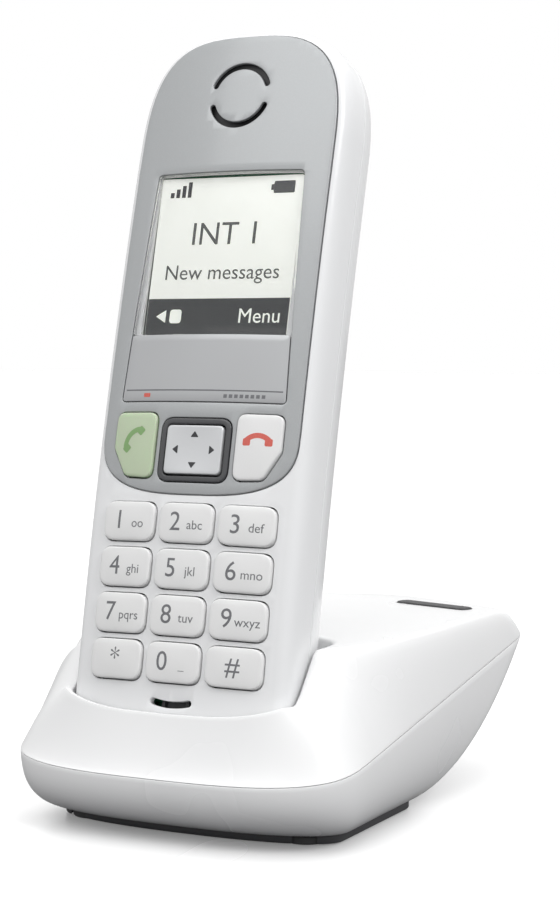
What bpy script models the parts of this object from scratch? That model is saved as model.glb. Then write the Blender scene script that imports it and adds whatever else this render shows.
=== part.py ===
"""Cordless telephone handset standing in its charging base.

Frame: metres, +X to the handset's right as seen from the front, +Y to the back, +Z up. The origin is
on the table at the middle of the base. The handset is drawn in its own frame, with X across, Y from
its face to its back and Z along it, and leans back in the cradle.
"""

import math

import bmesh
import bpy
from mathutils import Matrix, Vector
from mathutils.bvhtree import BVHTree

MM = 0.001
GAP = 0.35 * MM

# Base
BASE_WIDTH = 73 * MM
BASE_DEPTH = 110 * MM
BASE_WALL = 1.5 * MM
EDGE_FRONT_Z = 12.8 * MM
EDGE_SLOPE = 0.167
EDGE_CROWN = 4.3 * MM
EDGE_CROWN_RUN = 23 * MM
SHOULDER_RUN = 12 * MM
FRONT_CORNER = 18 * MM
REAR_CORNER = 12.4 * MM
SOLE_WIDTH = BASE_WIDTH - 11 * MM
SOLE_LENGTH = 0.4364 * BASE_DEPTH
SOLE_SETBACK = 11 * MM
SOLE_CORNER = 9 * MM
SOLE_BOTTOM = 0.15 * MM
SOLE_TOP = 1.7 * MM
HULL_BOTTOM = SOLE_TOP + GAP
HULL_CURVE = 1.6
HULL_BULGE = 2.2
HULL_BOW_LENGTH = 40 * MM

# Cradle, measured in the handset's frame
CRADLE_CLEARANCE = 0.9 * MM
CRADLE_LIP = 1.0 * MM
RIM_FRONT = 12.6 * MM
RIM_CORNER = 2.6 * MM
RIM_STEP = 9.7 * MM
RIM_STEP_START = 5.5 * MM
RIM_STEP_END = 12.5 * MM
CRADLE_WALL = 1.2 * MM
CRADLE_FLOOR = 10.0 * MM
CRADLE_FLOOR_RAMP = 4.2 * MM
CRADLE_SIDE_RAMP = 5 * MM
CRADLE_RAMP_START = -2.0 * MM
CRADLE_RAMP_END = 13.0 * MM

# Handset
LEAN = math.radians(13.92)
HANDSET_SEAT_Z = 12 * MM
HANDSET_SETBACK = 2 * MM
CASE_WIDTH = 47 * MM
CASE_LOW = 2.5 * MM
CASE_HIGH = 149.8 * MM
CASE_WALL = 1.8 * MM
CASE_BACK = 27 * MM
TOP_CAP = 28 * MM
TOP_POWER = 3.3
BOTTOM_CAP = 12 * MM
BOTTOM_POWER = 2.3
BOW_CENTRE = 80 * MM
LONG_BOW = 1.0
CROSS_BOW = 7.0
PARTING = 8.3 * MM

FACEPLATE_THICKNESS = 0.8 * MM
FACEPLATE_PROUD = 0.25 * MM
FACEPLATE_INSET = 2.1 * MM
FACEPLATE_LOW = 54.8 * MM
FACEPLATE_CORNER = 12 * MM
WINDOW_LOW = 73.0 * MM
WINDOW_HIGH = 119.4 * MM
WINDOW_WIDTH_LOW = 0.766 * CASE_WIDTH
WINDOW_WIDTH_HIGH = 0.685 * CASE_WIDTH
LCD_LOW = 86.2 * MM
LCD_HIGH = 119.0 * MM
LCD_WIDTH = WINDOW_WIDTH_HIGH - 0.6 * MM
LCD_FRONT = 2.6 * MM
LCD_THICKNESS = 1.2 * MM
BACKLIGHT_THICKNESS = 2.2 * MM
EARPIECE_HEIGHT = 135.6 * MM
EARPIECE_RADIUS = 6.2 * MM
EARPIECE_SLOT = 1.3 * MM

KEY_HEIGHT = 7.6 * MM
KEY_CORNER = 2.4 * MM
KEY_COLUMN_PITCH = 0.2734 * CASE_WIDTH
KEY_WIDTH = KEY_COLUMN_PITCH - 1.25 * MM
KEY_ROW_PITCH = 8.9 * MM
KEY_LOWEST_ROW = 22.5 * MM
KEY_PROUD = 0.8 * MM
KEY_CROWN = 0.25 * MM
KEY_CLEARANCE = 0.35 * MM
KEY_BACK = 5.9 * MM
KEY_TRAVEL = 0.6 * MM
NAV_HEIGHT = 63.4 * MM
NAV_FRAME_WIDTH = 0.3234 * CASE_WIDTH
NAV_FRAME_LENGTH = 12.4 * MM
NAV_FRAME_BAND = 1.1 * MM
NAV_CLEARANCE = 0.45 * MM
NAV_BACK = 4.0 * MM
SIDE_KEY_LOW = 58.0 * MM
SIDE_KEY_HIGH = 70.6 * MM
SIDE_KEY_INNER = NAV_FRAME_WIDTH / 2 + 1.3 * MM
SIDE_KEY_OUTER = CASE_WIDTH / 2 - 5.2 * MM
MAT_THICKNESS = 0.8 * MM
BOARD_FRONT = 8.0 * MM
BOARD_THICKNESS = 1.0 * MM
BOARD_WIDTH = CASE_WIDTH - 10 * MM
MIC_HEIGHT = 14.6 * MM
MIC_SLOT_LENGTH = 8.8 * MM
MIC_SLOT_WIDTH = 1.3 * MM

CELL_DIAMETER = 10.5 * MM
CELL_LENGTH = 44.5 * MM
CELL_SPACING = 12.2 * MM
CELL_LOW = 43.2 * MM
SPRING_LENGTH = 3.8 * MM
SPRING_WIRE = 0.5 * MM
BAY_FLOOR = 12.4 * MM
BAY_FLOOR_THICKNESS = 1.4 * MM
COVER_LOW = 37 * MM
COVER_HIGH = 94 * MM
COVER_WIDTH = CASE_WIDTH - 14 * MM
COVER_CORNER = 5 * MM
COVER_THICKNESS = 1.7 * MM
CASE_SCREW_RADIUS = 0.9 * MM
CASE_SCREW_HEAD = 1.9 * MM
CASE_SCREW_SEAT = BAY_FLOOR + 4 * MM
CASE_SCREW_OFFSET = CELL_SPACING / 2 + CELL_DIAMETER / 2 + 3.4 * MM
CASE_SCREW_HEIGHT = COVER_HIGH - 6 * MM

CAP_POINTS = 15
SIDE_POINTS = 5

CONTACT_SPACING = 18 * MM
CONTACT_WIDTH = 3.0 * MM
CONTACT_PLATE = 4.0 * MM
CONTACT_DEPTH = 8.5 * MM
CONTACT_LIFT = CASE_LOW + 0.8 * MM

SOCKET_FACE = SOLE_SETBACK + SOLE_LENGTH + 13 * MM - BASE_DEPTH / 2
SOCKET_RECESS_WIDTH = 32 * MM
SOCKET_RECESS_TOP = 19 * MM
SOCKET_BASE = 8.6 * MM
SOCKET_HEIGHT = 8.6 * MM
SOCKET_DEPTH = 11 * MM

PAGING_LENGTH = 20 * MM
PAGING_WIDTH = 4.2 * MM
PAGING_PLACE = (BASE_WIDTH / 2 - 17.5 * MM, BASE_DEPTH / 2 - 18.5 * MM)
PAGING_DEPTH = 5 * MM
PAGING_PROUD = 0.3 * MM
PAGING_TURN = math.radians(-18)

BOSS_PLACE = (BASE_WIDTH / 2 - 16.5 * MM, SOLE_SETBACK + 30 * MM - BASE_DEPTH / 2)
BOSS_RADIUS = 3.0 * MM
BASE_BOARD_THICKNESS = 1.2 * MM
BASE_SCREW_RADIUS = 1.2 * MM
BASE_SCREW_HEAD = 2.6 * MM
FOOT_RADIUS = 4.5 * MM

BASE_FRONT = -BASE_DEPTH / 2
BASE_REAR = BASE_DEPTH / 2
HANDSET_ORIGIN = Vector((0, BASE_FRONT + HANDSET_SETBACK, HANDSET_SEAT_Z))
HANDSET_MATRIX = Matrix.Translation(HANDSET_ORIGIN) @ Matrix.Rotation(-LEAN, 4, "X")


# Materials


def material(name, colour, roughness, metallic=0.0, transmission=0.0):
    made = bpy.data.materials.new(name)
    made.use_nodes = True
    shader = made.node_tree.nodes["Principled BSDF"]
    shader.inputs["Base Color"].default_value = (*colour, 1.0)
    shader.inputs["Roughness"].default_value = roughness
    shader.inputs["Metallic"].default_value = metallic
    shader.inputs["Transmission Weight"].default_value = transmission
    made.diffuse_color = (*colour, 1.0)
    return made


# Meshes


def make(name, mesh, finish, parent=None, origin=Vector()):
    """An object from a bmesh drawn in its parent's frame, with its own origin moved to a chosen point."""
    bmesh.ops.recalc_face_normals(mesh, faces=mesh.faces)
    bmesh.ops.translate(mesh, verts=mesh.verts, vec=-Vector(origin))
    data = bpy.data.meshes.new(name)
    mesh.to_mesh(data)
    mesh.free()
    data.shade_smooth()
    data.set_sharp_from_angle(angle=math.radians(35))
    if finish:
        data.materials.append(finish)
    made = bpy.data.objects.new(name, data)
    bpy.context.collection.objects.link(made)
    made.location = origin
    made.parent = parent
    return made


def loft(rings):
    """A closed solid through rings of equal count. Each end is closed by a fan to the ring's middle."""
    mesh = bmesh.new()
    rows = [[mesh.verts.new(point) for point in ring] for ring in rings]
    count = len(rings[0])
    for first, second in zip(rows, rows[1:]):
        for i in range(count):
            j = (i + 1) % count
            mesh.faces.new((first[i], first[j], second[j], second[i]))
    for row, ring in ((rows[0], rings[0]), (rows[-1], rings[-1])):
        middle = mesh.verts.new(sum((Vector(p) for p in ring), Vector()) / count)
        for i in range(count):
            mesh.faces.new((row[i], row[(i + 1) % count], middle))
    return mesh


def prism(outline, low, high, place):
    """A closed prism. The outline is in a plane, and place turns (a, b, height) into a point."""
    return loft([[place(a, b, low) for a, b in outline], [place(a, b, high) for a, b in outline]])


def along_depth(u, v, depth):
    """Handset frame: outline across and along the handset, extruded from face to back."""
    return Vector((u, depth, v))


def along_height(x, y, z):
    """Base frame: outline in plan, extruded upwards."""
    return Vector((x, y, z))


def box(low, high):
    (x0, y0, z0), (x1, y1, z1) = low, high
    return prism([(x0, y0), (x1, y0), (x1, y1), (x0, y1)], z0, z1, along_height)


def disc(centre, radius, low, high, place, steps=16):
    outline = [
        (
            centre[0] + radius * math.cos(math.tau * i / steps),
            centre[1] + radius * math.sin(math.tau * i / steps),
        )
        for i in range(steps)
    ]
    return prism(outline, low, high, place)


def cutter(name, mesh, parent=None):
    made = make(name, mesh, None, parent)
    made.hide_render = True
    made.display_type = "WIRE"
    return made


def combine(target, other, operation="DIFFERENCE"):
    modifier = target.modifiers.new(f"{operation.title()} {other.name}", "BOOLEAN")
    modifier.operation = operation
    modifier.solver = "EXACT"
    modifier.object = other


def joined(meshes):
    """One mesh that holds several separate closed bodies."""
    whole = bmesh.new()
    for mesh in meshes:
        body = bpy.data.meshes.new("body")
        mesh.to_mesh(body)
        mesh.free()
        whole.from_mesh(body)
        bpy.data.meshes.remove(body)
    return whole


# Outlines


def power(value, exponent):
    return math.copysign(abs(value) ** exponent, value)


def capped_outline(half, low, high, low_cap, high_cap, low_power, high_power):
    """Straight sides closed by a superelliptic cap at each end, anticlockwise from the low left corner."""
    low_bend, high_bend = 2 / low_power, 2 / high_power
    angles = [math.pi * i / (CAP_POINTS - 1) for i in range(CAP_POINTS)]
    low_side, high_side = low + low_cap, high - high_cap
    rise = [
        low_side + (high_side - low_side) * (i + 1) / (SIDE_POINTS + 1)
        for i in range(SIDE_POINTS)
    ]
    points = [
        (-half * power(math.cos(a), low_bend), low_side - low_cap * math.sin(a) ** low_bend)
        for a in angles
    ]
    points += [(half, y) for y in rise]
    points += [
        (half * power(math.cos(a), high_bend), high_side + high_cap * math.sin(a) ** high_bend)
        for a in angles
    ]
    points += [(-half, y) for y in reversed(rise)]
    return points


def rounded_outline(corners, radius, steps=4):
    """A convex outline with round corners, each corner turned by a short run of chords."""
    points = []
    count = len(corners)
    for i in range(count):
        corner = Vector(corners[i])
        before = (Vector(corners[i - 1]) - corner).normalized()
        after = (Vector(corners[(i + 1) % count]) - corner).normalized()
        reach = radius / math.tan(before.angle(after) / 2)
        start, end = corner + before * reach, corner + after * reach
        for k in range(steps + 1):
            t = k / steps
            bend = start * (1 - t) ** 2 + corner * (2 * t * (1 - t)) + end * t**2
            points.append((bend.x, bend.y))
    return points


def grown(outline, by):
    """The outline moved outwards by a distance, along the normal at each point."""
    moved = []
    count = len(outline)
    for i in range(count):
        before, after = Vector(outline[i - 1]), Vector(outline[(i + 1) % count])
        along = (after - before).normalized()
        moved.append((outline[i][0] + along.y * by, outline[i][1] - along.x * by))
    return moved


def refined(outline, longest=5 * MM):
    """The outline with points added, so that no side is longer than a given length."""
    points = []
    count = len(outline)
    for i in range(count):
        start, end = Vector(outline[i]), Vector(outline[(i + 1) % count])
        parts = max(1, math.ceil((end - start).length / longest))
        for k in range(parts):
            place = start.lerp(end, k / parts)
            points.append((place.x, place.y))
    return points


def scaled(outline, factor, centre):
    return [
        (centre[0] + (a - centre[0]) * factor, centre[1] + (b - centre[1]) * factor)
        for a, b in outline
    ]


def smooth_step(value, start, end):
    t = min(1.0, max(0.0, (value - start) / (end - start)))
    return t * t * (3 - 2 * t)


# Handset surfaces


def face_depth(u, v):
    return LONG_BOW * (v - BOW_CENTRE) ** 2 / 2 + CROSS_BOW * u**2 / 2


def parting_depth(u, v):
    return face_depth(u, v) + PARTING


def case_outline(inset):
    return capped_outline(
        CASE_WIDTH / 2 - inset,
        CASE_LOW + inset,
        CASE_HIGH - inset,
        max(BOTTOM_CAP - inset, 2 * MM),
        TOP_CAP - inset,
        BOTTOM_POWER,
        TOP_POWER,
    )


CASE_MIDDLE = (0, (CASE_LOW + CASE_HIGH) / 2)
FRONT_ROWS = ((1.9, 0.0), (1.1, 0.5), (0.5, 1.4), (0.15, 2.9), (0.0, 5.3))
BACK_ROWS = ((0.45, 3.0), (1.7, 7.0), (4.1, 11.0), (7.8, 14.2), (12.0, 16.0))
INNER_SCALES = (0.25, 0.5, 0.75)


def front_rows(wall):
    """Rings of the front half from its middle to the parting line, set in by a wall."""
    rim = case_outline(FRONT_ROWS[0][0] * MM + wall)
    rings = [
        [Vector((u, face_depth(u, v) + wall, v)) for u, v in scaled(rim, s, CASE_MIDDLE)]
        for s in INNER_SCALES
    ]
    for inset, drop in FRONT_ROWS:
        outline = case_outline(inset * MM + wall)
        floor = max(drop * MM, wall)
        rings.append([Vector((u, face_depth(u, v) + floor, v)) for u, v in outline])
    outline = case_outline(wall)
    rings.append([Vector((u, parting_depth(u, v), v)) for u, v in outline])
    return rings


def back_surface(v, rise):
    return LONG_BOW * (v - BOW_CENTRE) ** 2 / 2 + rise


def back_rows(wall):
    """Rings of the rear half from the parting line to the middle of its back, set in by a wall."""
    outline = case_outline(wall)
    rings = [[Vector((u, parting_depth(u, v) + GAP, v)) for u, v in outline]]
    start = CASE_BACK - 17 * MM
    for inset, rise in BACK_ROWS:
        outline = case_outline(inset * MM + wall)
        depth = start + rise * MM - wall
        rings.append([Vector((u, back_surface(v, depth), v)) for u, v in outline])
    for s, rise in zip((0.66, 0.33), (16.7, 16.95)):
        depth = start + rise * MM - wall
        rings.append(
            [Vector((u, back_surface(v, depth), v)) for u, v in scaled(outline, s, CASE_MIDDLE)]
        )
    return rings


def face_slab(outline, middle, front, back, edge, crown=0.0):
    """A slab that follows the bowed face: front and back are depths behind it, with a softened edge."""
    rings = [
        [Vector((u, face_depth(u, v) + back, v)) for u, v in scaled(outline, s, middle)]
        for s in (0.4, 0.75, 1.0)
    ]
    rings.append([Vector((u, face_depth(u, v) + front + edge, v)) for u, v in outline])
    inset = grown(outline, -edge)
    for s in (1.0, 0.75, 0.4):
        rise = crown * (1 - s * s)
        rings.append(
            [Vector((u, face_depth(u, v) + front - rise, v)) for u, v in scaled(inset, s, middle)]
        )
    return loft(rings)


def key_solid(outline, middle, back):
    """A key cap that stands a little proud of the face, with a flat underside."""
    edge = 0.4 * MM
    rings = [
        [Vector((u, back, v)) for u, v in outline],
        [Vector((u, face_depth(u, v) - KEY_PROUD + edge, v)) for u, v in outline],
    ]
    inset = grown(outline, -edge)
    for s, rise in ((1.0, 0.0), (0.5, KEY_CROWN)):
        rings.append(
            [
                Vector((u, face_depth(u, v) - KEY_PROUD - rise, v))
                for u, v in scaled(inset, s, middle)
            ]
        )
    return loft(rings)


def rectangle(u, v, width, height):
    return [
        (u - width / 2, v - height / 2),
        (u + width / 2, v - height / 2),
        (u + width / 2, v + height / 2),
        (u - width / 2, v + height / 2),
    ]


def faceplate_outline():
    """The case outline set in, cut off low by a wide arc with round corners."""
    half = CASE_WIDTH / 2 - FACEPLATE_INSET
    return capped_outline(
        half,
        FACEPLATE_LOW,
        CASE_HIGH - 1.6 * MM,
        FACEPLATE_CORNER,
        TOP_CAP - 1.6 * MM,
        2.9,
        TOP_POWER,
    )


def window_outline():
    corners = [
        (-WINDOW_WIDTH_LOW / 2, WINDOW_LOW),
        (WINDOW_WIDTH_LOW / 2, WINDOW_LOW),
        (WINDOW_WIDTH_HIGH / 2, WINDOW_HIGH),
        (-WINDOW_WIDTH_HIGH / 2, WINDOW_HIGH),
    ]
    return refined(rounded_outline(corners, 1.0 * MM, 2))


def side_key_outline(side):
    """Talk and end keys: tall caps whose outer low corner follows the faceplate's edge."""
    inner, outer = SIDE_KEY_INNER, SIDE_KEY_OUTER
    corners = [
        (side * inner, SIDE_KEY_LOW - 0.3 * MM),
        (side * (outer - 3.2 * MM), SIDE_KEY_LOW),
        (side * outer, SIDE_KEY_LOW + 5.5 * MM),
        (side * outer, SIDE_KEY_HIGH),
        (side * inner, SIDE_KEY_HIGH),
    ]
    if side < 0:
        corners.reverse()
    return rounded_outline(corners, 1.8 * MM, 2)


def arc_slot(centre, radius, width, start, end, steps=12):
    """Outline of a ring segment with blunt ends."""
    angles = [math.radians(start + (end - start) * i / steps) for i in range(steps + 1)]
    outer, inner = radius + width / 2, radius - width / 2
    points = [(centre[0] + outer * math.cos(a), centre[1] + outer * math.sin(a)) for a in angles]
    points += [
        (centre[0] + inner * math.cos(a), centre[1] + inner * math.sin(a))
        for a in reversed(angles)
    ]
    return points


def ribbon(outline, low, high, place):
    """A prism over an outline that is too bent for a fan: each end is one face."""
    mesh = bmesh.new()
    first = [mesh.verts.new(place(a, b, low)) for a, b in outline]
    second = [mesh.verts.new(place(a, b, high)) for a, b in outline]
    count = len(outline)
    mesh.faces.new(first)
    mesh.faces.new(second)
    for i in range(count):
        j = (i + 1) % count
        mesh.faces.new((first[i], first[j], second[j], second[i]))
    return mesh


# Handset


KEYS = (
    ("key_star", "key_0", "key_hash"),
    ("key_7", "key_8", "key_9"),
    ("key_4", "key_5", "key_6"),
    ("key_1", "key_2", "key_3"),
)


def key_places():
    for row, names in enumerate(KEYS):
        for column, name in enumerate(names):
            yield name, ((column - 1) * KEY_COLUMN_PITCH, KEY_LOWEST_ROW + row * KEY_ROW_PITCH)


def key_outline(middle, clearance=0.0):
    corners = rectangle(*middle, KEY_WIDTH + 2 * clearance, KEY_HEIGHT + 2 * clearance)
    return rounded_outline(corners, KEY_CORNER, 2)


def nav_outline(grow):
    corners = rectangle(0, NAV_HEIGHT, NAV_FRAME_WIDTH + 2 * grow, NAV_FRAME_LENGTH + 2 * grow)
    return rounded_outline(corners, max(2.4 * MM + grow, 1.0 * MM), 3)


def nav_middle():
    return (0, NAV_HEIGHT)


def side_middle(side):
    return (side * (SIDE_KEY_INNER + SIDE_KEY_OUTER) / 2, (SIDE_KEY_LOW + SIDE_KEY_HIGH) / 2)


def contact_middle(side):
    return side * CONTACT_SPACING / 2


def build_front_shell(handset, finish):
    shell = make(
        "handset_front_shell",
        loft(front_rows(0.0) + front_rows(CASE_WALL)[::-1]),
        finish,
        handset,
    )
    plate_middle = (0, (FACEPLATE_LOW + CASE_HIGH) / 2)
    recess = face_slab(
        grown(faceplate_outline(), GAP),
        plate_middle,
        -3 * MM,
        FACEPLATE_THICKNESS - FACEPLATE_PROUD + GAP,
        0.1 * MM,
    )
    combine(shell, cutter("cut_faceplate_recess", recess, handset))
    ear = disc((0, EARPIECE_HEIGHT), 8.0 * MM, -1 * MM, 8 * MM, along_depth, 24)
    combine(shell, cutter("cut_earpiece", ear, handset))
    combine(shell, cutter("cut_mic_slot", mic_slot(), handset))
    for side in (-1, 1):
        middle = contact_middle(side)
        half = CONTACT_PLATE / 2 + GAP
        low = (middle - half, CONTACT_DEPTH - half, -3 * MM)
        high = (middle + half, CONTACT_DEPTH + half, 8 * MM)
        combine(shell, cutter(f"cut_contact_{side:+d}", box(low, high), handset))
    lcd = rectangle(0, (LCD_LOW + LCD_HIGH) / 2, LCD_WIDTH + 2 * GAP, LCD_HIGH - LCD_LOW + 2 * GAP)
    outlines = [key_outline(place, KEY_CLEARANCE) for _, place in key_places()]
    outlines += [grown(side_key_outline(side), KEY_CLEARANCE) for side in (-1, 1)]
    outlines += [lcd, nav_outline(GAP)]
    holes = joined([prism(outline, -6 * MM, 7 * MM, along_depth) for outline in outlines])
    combine(shell, cutter("cut_face_openings", holes, handset))


def mic_slot():
    half = MIC_SLOT_LENGTH / 2 - MIC_SLOT_WIDTH / 2
    radius = 16 * MM
    sweep = math.degrees(half / radius)
    centre = (0, MIC_HEIGHT + radius)
    outline = arc_slot(centre, radius, MIC_SLOT_WIDTH, 270 - sweep, 270 + sweep, 8)
    return ribbon(outline, -6 * MM, 7 * MM, along_depth)


def cover_outline(grow):
    middle = (COVER_LOW + COVER_HIGH) / 2
    corners = rectangle(0, middle, COVER_WIDTH + 2 * grow, COVER_HIGH - COVER_LOW + 2 * grow)
    return rounded_outline(corners, COVER_CORNER + grow, 4)


def build_rear_shell(handset, finish, cover_finish):
    shell = make("handset_rear_shell", loft(back_rows(0.0)), finish, handset)
    outside = cutter("cut_rear_outside", loft(back_rows(0.0)), handset)

    inner = back_rows(CASE_WALL)
    mouth = [point - Vector((0, 4 * MM, 0)) for point in inner[0]]
    hollow = cutter("cut_rear_hollow", loft([mouth] + inner), handset)
    frame = prism(cover_outline(1.4 * MM), BAY_FLOOR - BAY_FLOOR_THICKNESS, 40 * MM, along_depth)
    combine(hollow, cutter("cut_bay_frame", frame, handset))
    combine(shell, hollow)

    seat = cutter("cut_cover_seat", prism(cover_outline(GAP), 10 * MM, 40 * MM, along_depth), handset)
    under_seat = cutter("cut_under_seat", loft(back_rows(COVER_THICKNESS + GAP)), handset)
    combine(seat, under_seat)
    combine(shell, seat)

    bay_low = CELL_LOW - SPRING_LENGTH - 3 * GAP
    bay_high = CELL_LOW + CELL_LENGTH + 6 * GAP
    half = CELL_SPACING / 2 + CELL_DIAMETER / 2 + 2 * GAP
    bay = box((-half, BAY_FLOOR, bay_low), (half, 40 * MM, bay_high))
    combine(shell, cutter("cut_bay", bay, handset))
    for side in (-1, 1):
        place = (side * CASE_SCREW_OFFSET, CASE_SCREW_HEIGHT)
        bore = disc(place, CASE_SCREW_RADIUS + GAP, 5 * MM, 30 * MM, along_depth, 12)
        combine(shell, cutter(f"cut_case_screw_{side:+d}", bore, handset))
        seat = disc(place, CASE_SCREW_HEAD + GAP, CASE_SCREW_SEAT, 30 * MM, along_depth, 16)
        combine(shell, cutter(f"cut_case_screw_seat_{side:+d}", seat, handset))

    hinge = Vector((0, back_surface(COVER_LOW, CASE_BACK), COVER_LOW))
    lid = prism(cover_outline(0.0), 10 * MM, 40 * MM, along_depth)
    cover = make("battery_cover", lid, cover_finish, handset, hinge)
    inside = cutter("cut_cover_inside", loft(back_rows(COVER_THICKNESS)), handset)
    combine(cover, outside, "INTERSECT")
    combine(cover, inside)


def build_faceplate(handset, finish):
    middle = (0, (FACEPLATE_LOW + CASE_HIGH) / 2)
    slab = face_slab(
        faceplate_outline(),
        middle,
        -FACEPLATE_PROUD,
        FACEPLATE_THICKNESS - FACEPLATE_PROUD,
        0.3 * MM,
    )
    plate = make("faceplate", slab, finish, handset)
    outlines = [grown(window_outline(), GAP), nav_outline(GAP)]
    outlines += [grown(side_key_outline(side), KEY_CLEARANCE) for side in (-1, 1)]
    holes = joined([prism(outline, -6 * MM, 8 * MM, along_depth) for outline in outlines])
    combine(plate, cutter("cut_plate_openings", holes, handset))
    for name, start in (("upper", 22), ("lower", 202)):
        outline = arc_slot((0, EARPIECE_HEIGHT), EARPIECE_RADIUS, EARPIECE_SLOT, start, start + 136)
        slot = ribbon(outline, -6 * MM, 8 * MM, along_depth)
        combine(plate, cutter(f"cut_ear_{name}", slot, handset))


def build_display(handset, glass, lcd_finish, light_finish):
    window = face_slab(
        window_outline(),
        (0, (WINDOW_LOW + WINDOW_HIGH) / 2),
        -FACEPLATE_PROUD,
        FACEPLATE_THICKNESS - FACEPLATE_PROUD,
        0.2 * MM,
    )
    make("display_window", window, glass, handset)
    middle = (LCD_LOW + LCD_HIGH) / 2
    panel = rectangle(0, middle, LCD_WIDTH, LCD_HIGH - LCD_LOW)
    back = LCD_FRONT + LCD_THICKNESS
    make("lcd_panel", prism(panel, LCD_FRONT, back, along_depth), lcd_finish, handset)
    light = prism(panel, back + GAP, back + GAP + BACKLIGHT_THICKNESS, along_depth)
    make("lcd_backlight", light, light_finish, handset)


def build_keys(handset, key_finish, talk_finish, nav_finish, frame_finish, mat_finish):
    for name, place in key_places():
        origin = Vector((place[0], face_depth(*place), place[1]))
        make(name, key_solid(key_outline(place), place, KEY_BACK), key_finish, handset, origin)
    for side, name, finish in ((-1, "talk_key", talk_finish), (1, "end_key", key_finish)):
        middle = side_middle(side)
        origin = Vector((middle[0], face_depth(*middle), middle[1]))
        cap = key_solid(side_key_outline(side), middle, KEY_BACK)
        make(name, cap, finish, handset, origin)

    frame = make(
        "nav_frame",
        face_slab(nav_outline(0.0), nav_middle(), -0.45 * MM, 2.4 * MM, 0.3 * MM),
        frame_finish,
        handset,
    )
    hole = prism(nav_outline(-NAV_FRAME_BAND), -6 * MM, 8 * MM, along_depth)
    combine(frame, cutter("cut_nav_frame", hole, handset))
    pivot_place = Vector((0, NAV_BACK + GAP, NAV_HEIGHT))
    cap = key_solid(nav_outline(-NAV_FRAME_BAND - NAV_CLEARANCE), nav_middle(), NAV_BACK)
    make("nav_key", cap, nav_finish, handset, pivot_place)
    pivot = disc(
        nav_middle(), 2.6 * MM, NAV_BACK + GAP, KEY_BACK - GAP / 2, along_depth, 16
    )
    make("nav_key_pivot", pivot, frame_finish, handset, pivot_place)

    low = KEY_LOWEST_ROW - KEY_HEIGHT / 2 - 0.5 * MM
    high = SIDE_KEY_HIGH + 1 * MM
    width = 2 * KEY_COLUMN_PITCH + KEY_WIDTH + 1.5 * MM
    outline = rounded_outline(rectangle(0, (low + high) / 2, width, high - low), 3 * MM, 4)
    mat_front = KEY_BACK + KEY_TRAVEL + GAP
    mat = prism(outline, mat_front, mat_front + MAT_THICKNESS, along_depth)
    make("keypad_mat", mat, mat_finish, handset)


def spring_mesh(centre, low, turns, radius):
    """A round wire wound along the handset."""
    mesh = bmesh.new()
    sides = 4
    steps = int(turns * 9)
    pitch = (SPRING_LENGTH - SPRING_WIRE) / turns
    rows = []
    for i in range(steps + 1):
        turn = math.tau * turns * i / steps
        out = Vector((math.cos(turn), math.sin(turn), 0))
        middle = Vector(centre) + out * radius
        middle.z = low + SPRING_WIRE / 2 + pitch * turns * i / steps
        ring = []
        for k in range(sides):
            a = math.tau * k / sides
            reach = out * math.cos(a) + Vector((0, 0, 1)) * math.sin(a)
            ring.append(mesh.verts.new(middle + reach * SPRING_WIRE / 2))
        rows.append(ring)
    for first, second in zip(rows, rows[1:]):
        for k in range(sides):
            n = (k + 1) % sides
            mesh.faces.new((first[k], first[n], second[n], second[k]))
    mesh.faces.new(rows[0])
    mesh.faces.new(rows[-1])
    return mesh


def build_power(handset, cell_finish, metal):
    centre_depth = BAY_FLOOR + GAP + CELL_DIAMETER / 2
    high = CELL_LOW + CELL_LENGTH
    nub = 1.0 * MM
    for side, name in ((-1, "left"), (1, "right")):
        across = side * CELL_SPACING / 2
        profile = (
            (CELL_LOW, CELL_DIAMETER / 2 - 0.6 * MM),
            (CELL_LOW + 0.6 * MM, CELL_DIAMETER / 2),
            (high - nub - 0.6 * MM, CELL_DIAMETER / 2),
            (high - nub, CELL_DIAMETER / 2 - 0.6 * MM),
            (high - nub, 2.0 * MM),
            (high, 1.9 * MM),
        )
        steps = 16
        rings = [
            [
                Vector(
                    (
                        across + r * math.cos(math.tau * i / steps),
                        centre_depth + r * math.sin(math.tau * i / steps),
                        z,
                    )
                )
                for i in range(steps)
            ]
            for z, r in profile
        ]
        make(f"battery_cell_{name}", loft(rings), cell_finish, handset)
        spring = spring_mesh(
            (across, centre_depth, 0), CELL_LOW - GAP - SPRING_LENGTH, 2.5, 2.6 * MM
        )
        make(f"battery_spring_{name}", spring, metal, handset)
    half = CELL_SPACING / 2 + 2.6 * MM
    plate = box(
        (-half, centre_depth - 2.6 * MM, high + GAP),
        (half, centre_depth + 2.6 * MM, high + GAP + 0.5 * MM),
    )
    make("cell_link_plate", plate, metal, handset)


def screw_mesh(centre, radii, heights, place):
    """A pan-head screw: head and shank radii, then the heights of its crown, head's seat and tip."""
    steps = 16
    head, shank = radii
    crown, seat, tip = heights
    bevel = math.copysign(0.4 * MM, seat - crown)
    profile = (
        (crown, head - 0.5 * MM),
        (crown + bevel, head),
        (seat, head),
        (seat, shank),
        (tip, shank - 0.4 * MM),
    )
    rings = []
    for height, radius in profile:
        rings.append(
            [
                place(
                    centre[0] + radius * math.cos(math.tau * i / steps),
                    centre[1] + radius * math.sin(math.tau * i / steps),
                    height,
                )
                for i in range(steps)
            ]
        )
    return loft(rings)


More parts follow.
